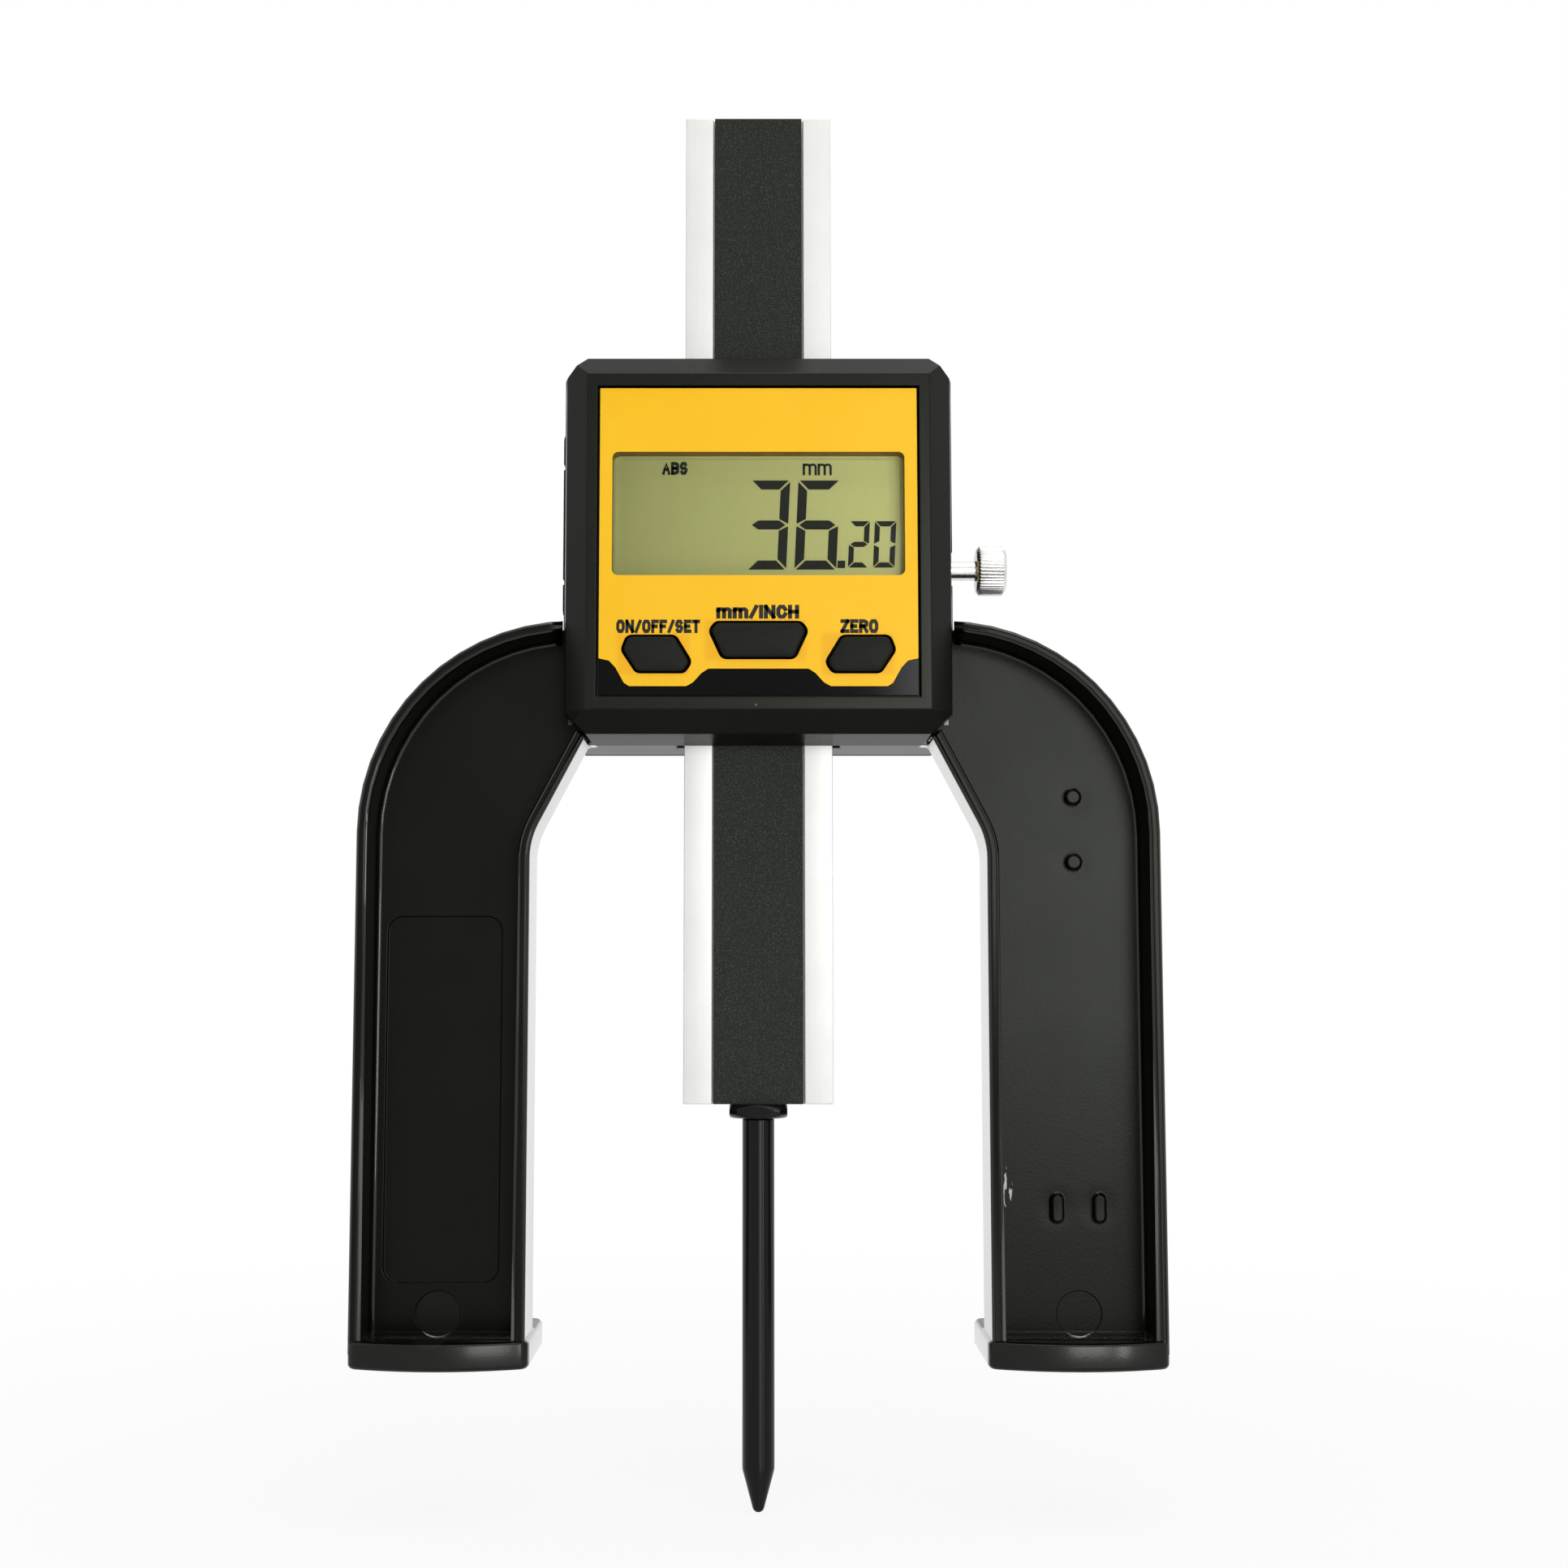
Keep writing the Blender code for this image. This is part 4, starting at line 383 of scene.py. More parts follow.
burnished = product(tree, maths(tree, "ADD", *bands), EDGE_SHINE)
foot_coat = product(tree, foot, maths(tree, "MAXIMUM", behind, FOOT_FRONT_SHINE))
polish = maths(tree, "MAXIMUM", maths(tree, "MAXIMUM", wall, foot_coat), burnished)
smooth = maths(tree, "MAXIMUM", foot, wall)
foot_front = product(tree, foot, between(tree, y, WALL_FRONT + 0.0001, WALL_FRONT - 0.0002))
bright_wall = maths(tree, "MAXIMUM", wall, product(tree, foot, behind))
in_mark = between(tree, vector_maths(tree, "DISTANCE", combined(tree, aside, z), MARK_PLACE), MARK_RADIUS,
                  MARK_RADIUS - 0.00015)
pips = between(tree, noise(tree, place, 2600.0, 1.0), 0.5, 0.62)
pitted = product(tree, in_mark, between(tree, x, -0.001, 0.001), pips)
faded = product(tree, in_mark, between(tree, x, 0.001, -0.001))
streaks = node(tree, "Mapping", {"Vector": place, "Scale": SCUFF_STREAKS}).outputs[0]
torn = between(tree, noise(tree, streaks, 1.0, 4.0, 0.8), 0.5, 0.53)
off_scuff = node(tree, "Mapping", {"Vector": place, "Location": SCUFF_PLACE, "Scale": SCUFF_SIZE},
                 vector_type="TEXTURE").outputs[0]
scuffed = product(tree, torn, between(tree, vector_maths(tree, "LENGTH", off_scuff), 1.0, 0.8))
colour = fed_by(shader, "Base Color")
for share, over in ((faded, MARK_GREY), (pitted, PIT_BLACK), (scuffed, SCUFF_PALE)):
    colour = tinted(tree, share, colour, over)
sunk = [between(tree, vector_maths(tree, "DISTANCE", combined(tree, x, z), (*spot, 0)), SINK_REACH, 0.0)
        for spot in SINK_PLACES]
sinks = sunk[0]
for value in sunk[1:]:
    sinks = maths(tree, "ADD", sinks, value)
sunk_face = node(tree, "Bump", {
    "Height": sinks, "Distance": SINK_DEPTH, "Normal": fed_by(shader, "Normal")}, invert=True).outputs[0]
feed(shader, {
    "Base Color": colour, "Normal": sunk_face, "Coat Weight": polish,
    "Roughness": blend(tree, smooth, fed_by(shader, "Roughness"), POLISHED_ROUGH),
    "Coat Roughness": blend(tree, foot_front, *COAT_HAZE),
    "Specular IOR Level": blend(tree, bright_wall, *SPECULAR_LEVELS)})
dressed("arch_moulding", "arch_frame", "stand", arch_look, ARCH_EDGE, plain=PLAIN_EDGES)


# Foot magnets: four round discs with bright nickel plate, pressed into pockets in the soles, so that
# the stand holds on a saw table or a router plate.

def lined_group():
    """Turned or drawn metal: fine lines that follow one axis, a drift of tone and a slight haze."""
    group, takes, end = shared("lined_metal", {
        "Colour": (0.8, 0.8, 0.8, 1.0), "Dark Colour": (0.6, 0.6, 0.6, 1.0), "Roughness": 0.3,
        "Roughness Drift": 0.15, "Lines X": 200.0, "Lines Y": 8000.0, "Lines Z": 200.0,
        "Line Depth": 0.000002})
    place = object_place(group)
    rate = node(group, "CombineXYZ", {at: takes["Lines " + axis] for at, axis in enumerate("XYZ")})
    lines = noise(group, vector_maths(group, "MULTIPLY", place, rate.outputs[0]), 1.0, 3.0)
    both = maths(group, "MULTIPLY", lines, noise(group, place, 220.0))
    colour = tinted(group, ramp(group, both, 0.12, 0.42), takes["Dark Colour"], takes["Colour"])
    return give_out(group, takes, end, colour, lines, relief(group, lines, takes["Line Depth"]))


def metal(name, colour, dark, rough, drift, lines, depth, **plain):
    """A lined finish: two colours, the roughness and its drift, the lines to the metre along X, Y and Z,
    and how deep they are."""
    return finish_from(name, lined, {
        "Colour": (*colour, 1), "Dark Colour": (*dark, 1), "Roughness": rough, "Roughness Drift": drift,
        "Lines X": lines[0], "Lines Y": lines[1], "Lines Z": lines[2], "Line Depth": depth}, **plain)


lined = lined_group()
nickel_look = metal("bright_nickel", (0.86, 0.85, 0.83), (0.66, 0.65, 0.63), rough=0.22, drift=0.12,
                    lines=(3000, 3000, 3000), depth=0.000001, Metallic=1.0)
for number in range(1, 5):
    dressed(f"magnet_disc_{number}", f"foot_magnet_{number}", "stand", nickel_look,
            width=0.00015)


# Rear cover and its four screws: a flat ABS shell behind the head, held by zinc-plated
# cross-head screws that run through the body into bosses of the front cover.

back_look = plastic("black_abs_back_shell", (0.0045, 0.0048, 0.0040), (0.0062, 0.0066, 0.0055), rough=0.42,
                    drift=0.1, grain=0.0004, depth=0.00002, dust=0.3, Specular_IOR_Level=0.2)
dressed("back_shell", "rear_cover", "stand", back_look, width=0.0002)
zinc_look = metal("zinc_plate", (0.72, 0.73, 0.75), (0.5, 0.5, 0.52), rough=0.34, drift=0.2,
                  lines=(2500, 2500, 2500), depth=0.000002, Metallic=1.0)
SCREW_SIDES = 72
SCREW_POINT = 0.0004
POINT_SHARE = 0.55
CROWN_SHARE = 0.35
CROWN_RIM = 0.93
CROWN_FALL = 0.8
CASE_SCREW = {"head": 0.0018, "deep": 0.0008, "shank": 0.0009, "half": 0.00026, "reach": 0.00115,
              "recess": 0.00045}


def skin(name, rows, look):
    """Closed mesh over a grid of points. Row by row, each point joins the next one round and the row
    after, the last point joins the first, and the two end rows are filled flat."""
    count = rows.shape[1]
    index = np.arange(rows.shape[0] * count).reshape(rows.shape[0], count)
    beside = np.roll(index, -1, axis=1)
    quads = np.stack([index[:-1], beside[:-1], beside[1:], index[1:]], axis=-1).reshape(-1, 4)
    points = rows.reshape(-1, 3)
    corner = points[quads]
    middle = points.mean(axis=0)
    spans = np.cross(corner[:, 2] - corner[:, 0], corner[:, 3] - corner[:, 1])
    inwards = ((corner.mean(axis=1) - middle) * spans).sum() < 0
    faces = quads.tolist() + [index[0][::-1].tolist(), index[-1].tolist()]
    mesh = bpy.data.meshes.new(name)
    mesh.from_pydata(points.tolist(), [], faces)
    if inwards:
        mesh.flip_normals()
    mesh.materials.append(look)
    mesh.shade_smooth()
    mesh.set_sharp_from_angle(angle=radians(38))
    return placed(name, mesh)


def full_turn(sides):
    """Even angles once round."""
    return np.linspace(0, 2 * pi, sides, endpoint=False)


def lathe(along, radius, axis, centre, turn):
    """Surface of revolution: at each place along the axis a ring of that radius about the centre, with
    a point at each angle. The radius may be one column per angle, for knurls and flats."""
    radius = np.asarray(radius, float)
    radius = np.broadcast_to(radius if radius.ndim == 2 else radius[:, None], (len(along), len(turn)))
    first, second = radius * np.cos(turn), radius * np.sin(turn)
    third = np.broadcast_to(np.asarray(along, float)[:, None], radius.shape)
    parts = {"X": (third, centre[0] + first, centre[1] + second),
             "Y": (centre[0] + second, third, centre[1] + first),
             "Z": (centre[0] + first, centre[1] + second, third)}
    return np.stack(parts[axis], axis=-1)


def cross_screw(name, source, pointing, size):
    """Screw on a line along Y. The head's top is a height over radius and angle: a low crown that
    falls with the square of the radius, less a cross whose arms are soft-edged bars."""
    low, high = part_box(source)
    centre = ((low.x + high.x) / 2, (low.z + high.z) / 2)
    tip, top = (low.y, high.y) if pointing > 0 else (high.y, low.y)
    shank, head, deep = size["shank"], size["head"], size["deep"]
    seat, rim = top - pointing * deep, top - pointing * deep * CROWN_SHARE
    turn = full_turn(SCREW_SIDES)
    body = lathe([tip, tip + pointing * SCREW_POINT, seat, seat, rim],
                 [shank * POINT_SHARE, shank, shank, head, head], "Y", centre, turn)
    share = np.linspace(CROWN_RIM, 0, 22)[:, None]
    across = head * share * np.sin(turn)
    upright = head * share * np.cos(turn)

    def bar(one, two):
        """1 inside a bar of the cross, easing to 0 over a narrow edge."""
        inside = np.minimum(size["half"] - np.abs(one), size["reach"] - np.abs(two))
        return np.clip(inside / (0.5 * size["half"]) + 0.5, 0, 1)

    cross = np.maximum(bar(across, upright), bar(upright, across))
    crown = deep * CROWN_SHARE * (1 - share ** 2 * CROWN_FALL)
    height = rim + pointing * (crown - size["recess"] * cross)
    cap = np.stack([centre[0] + across, height, centre[1] + upright], axis=-1)
    made = skin(name, np.concatenate([body, cap]), zinc_look)
    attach(made, "stand")
    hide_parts(source)


for number in range(1, 5):
    cross_screw(f"case_screw_cross_{number}", f"case_screw_{number}", 1, CASE_SCREW)


# Channel liners: thin white acetal strips at both edges of the channel, on which the rail runs.
# They are cut from extruded stock, so the faces are smooth and a little waxy.

def repaint(look, *names):
    """CAD nodes that keep their own shape get a finished surface."""
    for name in names:
        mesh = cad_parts[name].data
        mesh.materials.clear()
        mesh.materials.append(look)


acetal_look = plastic("white_acetal_liner", (0.78, 0.78, 0.75), (0.7, 0.69, 0.64), rough=0.4, drift=0.1,
                      grain=0.0006, depth=0.000004, dust=0.1, Subsurface_Weight=0.1)
repaint(acetal_look, "guide_left", "guide_right_lower", "guide_right_upper")


# Rail: a flat bar of drawn aluminium, 19.9 by 3 mm, satin-anodised, with a shallow groove down its
# front. Two pan-head screws on its back, near the top, stop it from leaving the head.

GROOVE_HALF = 0.006175
GROOVE_DEEP = 0.0007
RAIL_EDGE = 0.00013

rail_look = metal("satin_anodised_aluminium", (0.70, 0.705, 0.68), (0.66, 0.665, 0.64), rough=0.5,
                  drift=0.12, lines=(9000, 9000, 60), depth=0.0000015, Metallic=0.35)


def rounded(corners, radius, steps=10):
    """Each corner of a closed outline becomes an arc that touches both its sides. The arc's centre is
    on the corner's bisector, radius / sin(half the corner's angle) away from the corner."""
    corners = np.asarray(corners, float)
    back = np.roll(corners, 1, axis=0) - corners
    forth = np.roll(corners, -1, axis=0) - corners
    back_length = np.linalg.norm(back, axis=1)
    forth_length = np.linalg.norm(forth, axis=1)
    back /= back_length[:, None]
    forth /= forth_length[:, None]
    half = np.arccos((back * forth).sum(axis=1)) / 2
    reach = np.minimum(radius / np.tan(half), 0.45 * np.minimum(back_length, forth_length))
    size = reach * np.tan(half)
    bisector = back + forth
    bisector /= np.linalg.norm(bisector, axis=1)[:, None]
    centre = corners + bisector * (size / np.sin(half))[:, None]
    first = corners + back * reach[:, None] - centre
    last = corners + forth * reach[:, None] - centre
    start = np.arctan2(first[:, 1], first[:, 0])
    turn = (np.arctan2(last[:, 1], last[:, 0]) - start + pi) % (2 * pi) - pi
    angle = start[:, None] + turn[:, None] * np.linspace(0, 1, steps + 1)
    arcs = centre[:, None] + size[:, None, None] * np.stack([np.cos(angle), np.sin(angle)], axis=-1)
    return arcs.reshape(-1, 2)


def runs_left(outline):
    """Whether a closed outline runs anticlockwise: the sum of its points' cross products is positive."""
    after = np.roll(outline, -1, axis=0)
    return (outline[:, 0] * after[:, 1] - outline[:, 1] * after[:, 0]).sum() > 0


def outward(outline):
    """Unit normals of a closed outline, pointing away from its inside."""
    along = np.roll(outline, -1, axis=0) - np.roll(outline, 1, axis=0)
    normal = np.stack([along[:, 1], -along[:, 0]], axis=-1)
    normal /= np.linalg.norm(normal, axis=1)[:, None]
    return normal if runs_left(outline) else -normal


low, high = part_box("rail_beam")
profile = rounded([(low.x, low.y), (-GROOVE_HALF, low.y), (-GROOVE_HALF, low.y + GROOVE_DEEP),
                   (GROOVE_HALF, low.y + GROOVE_DEEP), (GROOVE_HALF, low.y), (high.x, low.y),
                   (high.x, high.y), (low.x, high.y)], RAIL_EDGE, 4)
turn = np.linspace(0, pi / 2, 5)
inset = RAIL_EDGE * np.concatenate([1 - np.sin(turn), 1 - np.cos(turn)])
height = np.concatenate([low.z + RAIL_EDGE * (1 - np.cos(turn)), high.z - RAIL_EDGE * (1 - np.sin(turn))])
bar_rows = [np.insert(profile - outward(profile) * step, 2, z, axis=1) for step, z in zip(inset, height)]
rail_bar = skin("rail_bar", np.stack(bar_rows), rail_look)
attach(rail_bar, "rail")
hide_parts("rail_beam")
for side in ("left", "right"):
    dressed(f"stop_head_{side}", f"stop_screw_{side}", "rail", zinc_look, width=0.00008)


# Scale strip: the capacitive scale, a dark glass-fibre laminate with a matt speckled lacquer,
# glued into the rail's groove.

STRIP_DARK = (0.0118, 0.0138, 0.0101, 1)
STRIP_LIGHT = (0.0162, 0.0186, 0.0139, 1)
FLECK_PALE = (0.056, 0.060, 0.050, 1)

strip_look = new_look("speckled_scale_laminate")
tree = strip_look.node_tree
place = object_place(tree)
fleck = noise(tree, place, 5200.0)
base = tinted(tree, noise(tree, place, 60.0), STRIP_DARK, STRIP_LIGHT)
speckled = tinted(tree, ramp(tree, fleck, 0.52, 0.72), base, FLECK_PALE)
feed(shader_of(strip_look), {"Base Color": speckled, "Roughness": 0.55, "Specular IOR Level": 0.1,
                             "Normal": relief(tree, fleck, 0.000008)})
repaint(strip_look, "scale_strip")


# Nut and probe: black-oxide steel. The nut is milled square with its corners off, and the probe
# rod is turned, polished and tapered to a small rounded tip. Its stud screws into the rail's end.

PROBE_RADIUS = 0.00213
PROBE_TAPER = 0.0056
PROBE_TIP = 0.0008
TAPER_LEAN = 0.235
BROKEN_EDGE = 0.0003
POLE_RADIUS = 0.00004
STUD_RADIUS = 0.0009
NUT_HALF = 0.003825
NUT_CUT = 0.001
NUT_HEIGHT = 0.0018
NUT_LEVELS = (0, 0.1, 0.2, 0.32, 0.5, 0.5, 0.68, 0.8, 0.9, 1)
CHAMFER_START = 0.97
CHAMFER_SLOPE = 2.2
SEAT_GAP = 0.00002

oxide_look = metal("black_oxide_steel", (0.0036, 0.0037, 0.0032), (0.0020, 0.0021, 0.0018), rough=0.26,
                   drift=0.05, lines=(900, 900, 6000), depth=0.0000006, Specular_IOR_Level=0.16,
                   Anisotropic=0.95, Anisotropic_Rotation=0.25)
low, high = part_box("probe")
probe_centre = ((low.x + high.x) / 2, (low.y + high.y) / 2)
tree = oxide_look.node_tree
x, y, z = axes_of(tree)
round_axis = combined(tree, maths(tree, "SUBTRACT", probe_centre[1], y), x)
feed(shader_of(oxide_look), {"Tangent": vector_maths(tree, "NORMALIZE", round_axis)})
rail_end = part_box("rail_beam")[0].z
low_face, high_face = rail_end - NUT_HEIGHT, rail_end - SEAT_GAP

edge_turn = np.arctan2(NUT_HALF - NUT_CUT, NUT_HALF)
side_turn = np.concatenate([np.linspace(-edge_turn, edge_turn, 9),
                            np.linspace(edge_turn, pi / 2 - edge_turn, 5)[1:-1]])
nut_turn = (side_turn + np.arange(4)[:, None] * pi / 2).ravel()
from_side = (nut_turn + pi / 4) % (pi / 2) - pi / 4
nut_outline = np.minimum(NUT_HALF / np.cos(from_side),
                         (2 * NUT_HALF - NUT_CUT) / 2 ** 0.5 / np.cos(np.abs(from_side) - pi / 4))
rise = np.array(NUT_LEVELS) * (high_face - low_face)
cone = NUT_HALF * CHAMFER_START + np.minimum(rise, rise[::-1]) * CHAMFER_SLOPE
nut_rows = lathe(low_face + rise, np.minimum(nut_outline, cone[:, None]), "Z", probe_centre, nut_turn)
nut = skin("square_nut", nut_rows, oxide_look)
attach(nut, "rail")
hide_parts("probe_nut")

shoulder = low_face - SEAT_GAP
tip_turn = np.linspace(0, pi / 2 - TAPER_LEAN, 9)
tip = PROBE_TIP * np.stack([1 - np.cos(tip_turn), np.sin(tip_turn)], axis=-1)
rod_profile = (
    (PROBE_TAPER - 0.0002, PROBE_RADIUS - 0.00005), (PROBE_TAPER + 0.0001, PROBE_RADIUS - 0.000008),
    (PROBE_TAPER + 0.0006, PROBE_RADIUS), (shoulder - BROKEN_EDGE, PROBE_RADIUS),
    (shoulder, PROBE_RADIUS - BROKEN_EDGE), (shoulder, STUD_RADIUS), (high.z - BROKEN_EDGE, STUD_RADIUS),
    (high.z, STUD_RADIUS - BROKEN_EDGE))
along, out = np.concatenate([tip, rod_profile]).T
out[0] = POLE_RADIUS
rod = skin("probe_rod", lathe(along + low.z, out, "Z", probe_centre, full_turn(96)), oxide_look)
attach(rod, "rail")
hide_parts("probe")


# Circuit board: green glass-fibre with a driver chip, a watch crystal and three snap domes, held by
# four small screws. Two grey conductive rubber strips carry it to the display glass.

board_look = new_look("green_solder_mask")
tree = board_look.node_tree
place = object_place(tree)
upright_place = node(tree, "Mapping", {"Vector": place, "Rotation": (pi / 2, 0, 0)}).outputs[0]
tracks = node(tree, "TexBrick", {
    "Vector": upright_place, "Scale": 420.0, "Mortar Size": 0.06, "Color1": (0.012, 0.11, 0.045, 1),
    "Color2": (0.010, 0.085, 0.035, 1), "Mortar": (0.035, 0.22, 0.10, 1)}).outputs[0]
feed(shader_of(board_look), {"Base Color": tracks, "Roughness": 0.35,
                             "Normal": relief(tree, noise(tree, place, 2500.0), 0.00001)})
repaint(board_look, "circuit_board")

chip_look = plastic("chip_resin", (0.012, 0.012, 0.012), (0.02, 0.02, 0.02), rough=0.55, drift=0.1,
                    grain=0.0001, depth=0.00001, dust=0.0)
dressed("driver_chip", "board_chip", "stand", chip_look, width=0.0001)
dressed("crystal_can", "board_crystal", "stand", zinc_look, width=0.00012)
contact_rubber_look = plastic("grey_conductive_rubber", (0.16, 0.16, 0.16), (0.1, 0.1, 0.1), rough=0.7,
                              drift=0.1, grain=0.0002, depth=0.00001, dust=0.0)
repaint(contact_rubber_look, "zebra_strip_lower", "zebra_strip_upper")
repaint(nickel_look, "snap_dome_left", "snap_dome_center", "snap_dome_right")
BOARD_SCREW = {"head": 0.0013, "deep": 0.0007, "shank": 0.0006, "half": 0.00016, "reach": 0.0007,
               "recess": 0.0003}
for number in range(1, 5):
    cross_screw(f"board_screw_cross_{number}", f"board_screw_{number}", -1, BOARD_SCREW)


# Display glass: an unlit liquid-crystal cell, olive green and a little lighter towards the right,
# because the light comes from there. Its figures are near black and lean to the right.

LCD_FRONT_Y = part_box("lcd_panel")[0].y
LCD_HALF = 0.019
OLIVE_LEFT = (0.298, 0.303, 0.108, 1)
OLIVE_RIGHT = (0.505, 0.51, 0.198, 1)
INK = 0.00003
LEAN = tan(radians(2.7))

glass_look = new_look("olive_display_glass")
tree = glass_look.node_tree
olive = tinted(tree, ramp(tree, axes_of(tree)[0], -LCD_HALF, LCD_HALF), OLIVE_LEFT, OLIVE_RIGHT)
mottle = ramp(tree, noise(tree, object_place(tree), 2600.0, 1.0), 0.0, 1.0, 0.95, 1.05)
feed(shader_of(glass_look), {"Base Color": tinted(tree, 1.0, olive, mottle, blend_type="MULTIPLY"),
                             "Roughness": 0.5, "Specular IOR Level": 0.15})
repaint(glass_look, "lcd_panel")
ink_look = plastic("display_figure_ink", (0.010, 0.011, 0.008), (0.013, 0.014, 0.010), rough=0.6, drift=0.05,
                   grain=0.0002, depth=0.000001, dust=0.0, Specular_IOR_Level=0.1)


def segment_shapes(wide, tall, bar, gap):
    """The seven bars of a figure in its own box, as lists of corners. The outer bars are mitred where
    they meet, a thin gap apart, and the middle bar is pointed at both ends."""
    half, mid = bar / 2, tall / 2
    top = [(gap, tall), (wide - gap, tall), (wide - bar - gap, tall - bar), (bar + gap, tall - bar)]
    bottom = [(u, tall - v) for u, v in reversed(top)]
    middle = [(gap * 2, mid), (bar, mid + half), (wide - bar, mid + half), (wide - gap * 2, mid),
              (wide - bar, mid - half), (bar, mid - half)]
    upper_left = [(0, tall - gap), (bar, tall - bar - gap), (bar, mid + half + gap), (gap / 2, mid + gap),
                  (0, mid + gap * 1.5)]
    lower_left = [(u, tall - v) for u, v in reversed(upper_left)]
    upper_right = [(wide - u, v) for u, v in reversed(upper_left)]
    lower_right = [(wide - u, v) for u, v in reversed(lower_left)]
    return {"top": top, "bottom": bottom, "middle": middle, "upper_left": upper_left,
            "lower_left": lower_left, "upper_right": upper_right, "lower_right": lower_right}


def sheet_pieces(name, outlines, front_y, thick, look):
    """Flat ink, film or strip on the stand: each outline becomes a slab between its front and its back."""
    points, faces = [], []
    for outline in outlines:
        flat = np.asarray(outline, float)
        count, start = len(flat), len(points)
        points.extend(np.concatenate([np.insert(flat, 1, front_y, axis=1),
                                      np.insert(flat, 1, front_y + thick, axis=1)]).tolist())
        ring = np.arange(count)
        after = np.roll(ring, -1)
        sides = np.stack([ring, ring + count, after + count, after], axis=-1) + start
        found = [(ring + start).tolist(), (ring[::-1] + start + count).tolist()] + sides.tolist()
        faces.extend(found if runs_left(flat) else [face[::-1] for face in found])
    mesh = bpy.data.meshes.new(name)
    mesh.from_pydata(points, [], faces)
    mesh.materials.append(look)
    made = placed(name, mesh)
    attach(made, "stand")


def figure(bars, left, wide, size):
    """The named bars of one figure, leaning to the right about its lower left corner."""
    low, tall, bar, gap = size
    shapes = segment_shapes(wide, tall, bar, gap)
    return [[(left + u + LEAN * v, low + v) for u, v in shapes[name]] for name in bars.split()]


THREE = "top middle bottom upper_right lower_right"
SIX = "top middle bottom upper_left lower_left lower_right"
TWO = "top middle bottom upper_right lower_left"
NOUGHT = "top bottom upper_left lower_left upper_right lower_right"
LARGE = (0.1231, 0.01196, 0.00122, 0.00018)
SMALL = (0.12337, 0.00622, 0.00070, 0.00009)
DECIMAL_POINT = [(0.01040, 0.1233), (0.01142, 0.1233), (0.01146, 0.1243), (0.01044, 0.1243)]
figures = (figure(THREE, -0.00152, 0.00518, LARGE) + figure(SIX, 0.00474, 0.00552, LARGE)
           + figure(TWO, 0.01179, 0.00265, SMALL) + figure(NOUGHT, 0.01510, 0.00284, SMALL)
           + [DECIMAL_POINT])
sheet_pieces("display_figures", figures, LCD_FRONT_Y - INK, INK, ink_look)


STROKES = {
    "O": (0.6, "20 60 82 86 68 28 06 02 20"), "N": (0.62, "00 08, 08 80, 80 88"),
    "F": (0.5, "00 08 88, 04 64"), "/": (0.42, "00 88"), "S": (0.56, "77 68 28 06 05 24 64 83 82 60 20 11"),
    "E": (0.5, "88 08 00 80, 04 64"), "T": (0.54, "08 88, 40 48"), "Z": (0.56, "08 88, 88 00, 00 80"),
    "R": (0.6, "00 08 58 87 85 54 04, 44 80"), "A": (0.6, "00 48 80, 23 63"), "I": (0.0, "00 08"),
    "B": (0.58, "00 08 58 87 85 54 04, 54 83 81 50 00"), "C": (0.56, "86 68 28 06 02 20 60 82"),
    "m": (0.95, "00 06, 05 16 36 45 40, 45 56 76 85 80"), "H": (0.58, "00 08, 80 88, 04 84"),
}
CONDENSED = 0.8
LETTER_GAP = 0.05


def ribbon(points, pen):
    """A stroke as quads. Each point of its middle line moves half the pen's width to both sides, along
    (first normal + second normal) / (1 + their dot product). Its ends are square."""
    points = np.asarray(points, float)
    closed = (points[0] == points[-1]).all()
    along = np.diff(points, axis=0)
    along /= np.linalg.norm(along, axis=1)[:, None]
    if not closed:
        points[0] -= along[0] * pen / 2
        points[-1] += along[-1] * pen / 2
    normal = np.stack([-along[:, 1], along[:, 0]], axis=-1)
    before = np.concatenate([normal[-1:] if closed else normal[:1], normal])
    after = np.concatenate([normal, normal[:1] if closed else normal[-1:]])
    shift = (before + after) * pen / 2
    shift /= np.maximum(1 + (before * after).sum(axis=1), 0.7)[:, None]
    left, right = points + shift, points - shift
    return np.stack([left[:-1], left[1:], right[1:], right[:-1]], axis=1)


def word(name, text, low, high, back_y, look, pen):
    """Printed word: the strokes of its letters, given on a grid of nine by nine points, made ribbons and
    fitted to the box between two (x, z) corners, as slabs with their backs on the surface behind."""
    quads, start = [], 0
    for letter in text:
        wide, strokes = STROKES[letter]
        wide *= CONDENSED
        for stroke in strokes.split(", "):
            points = [(start + int(u) / 8 * wide, int(v) / 8 * (1 - pen)) for u, v in stroke.split()]
            quads.append(ribbon(points, pen))
        start += wide + pen + LETTER_GAP
    quads = np.concatenate(quads)
    least, most = quads.min(axis=(0, 1)), quads.max(axis=(0, 1))
    laid = np.array(low) + (quads - least) / (most - least) * (np.array(high) - np.array(low))
    sheet_pieces(name, laid, back_y - INK, INK, look)


for name, text, low_corner, high_corner, pen in (
        ("display_unit", "mm", (0.00580, 0.13577), (0.00972, 0.13733), 0.15),
        ("display_mode", "ABS", (-0.01279, 0.13577), (-0.00937, 0.13757), 0.26)):
    word(name, text, low_corner, high_corner, LCD_FRONT_Y, ink_look, pen)


# Front cover: a sloped ABS bezel with cut corners, moulded glossier than the arch, that holds the
# panel and shuts the head. Thin tongues on the body's edges close its seam and the one behind.

WINDOW_Z = 0.13005
WINDOW_REACH = (0.0197, 0.0087)
WARM_BROWN = (0.16, 0.085, 0.012, 1)
LOW_SLOPE_Z = 0.1043
SLOPE_LEVELS = (0.13, 0.06)
COVER_EDGE = 0.00014

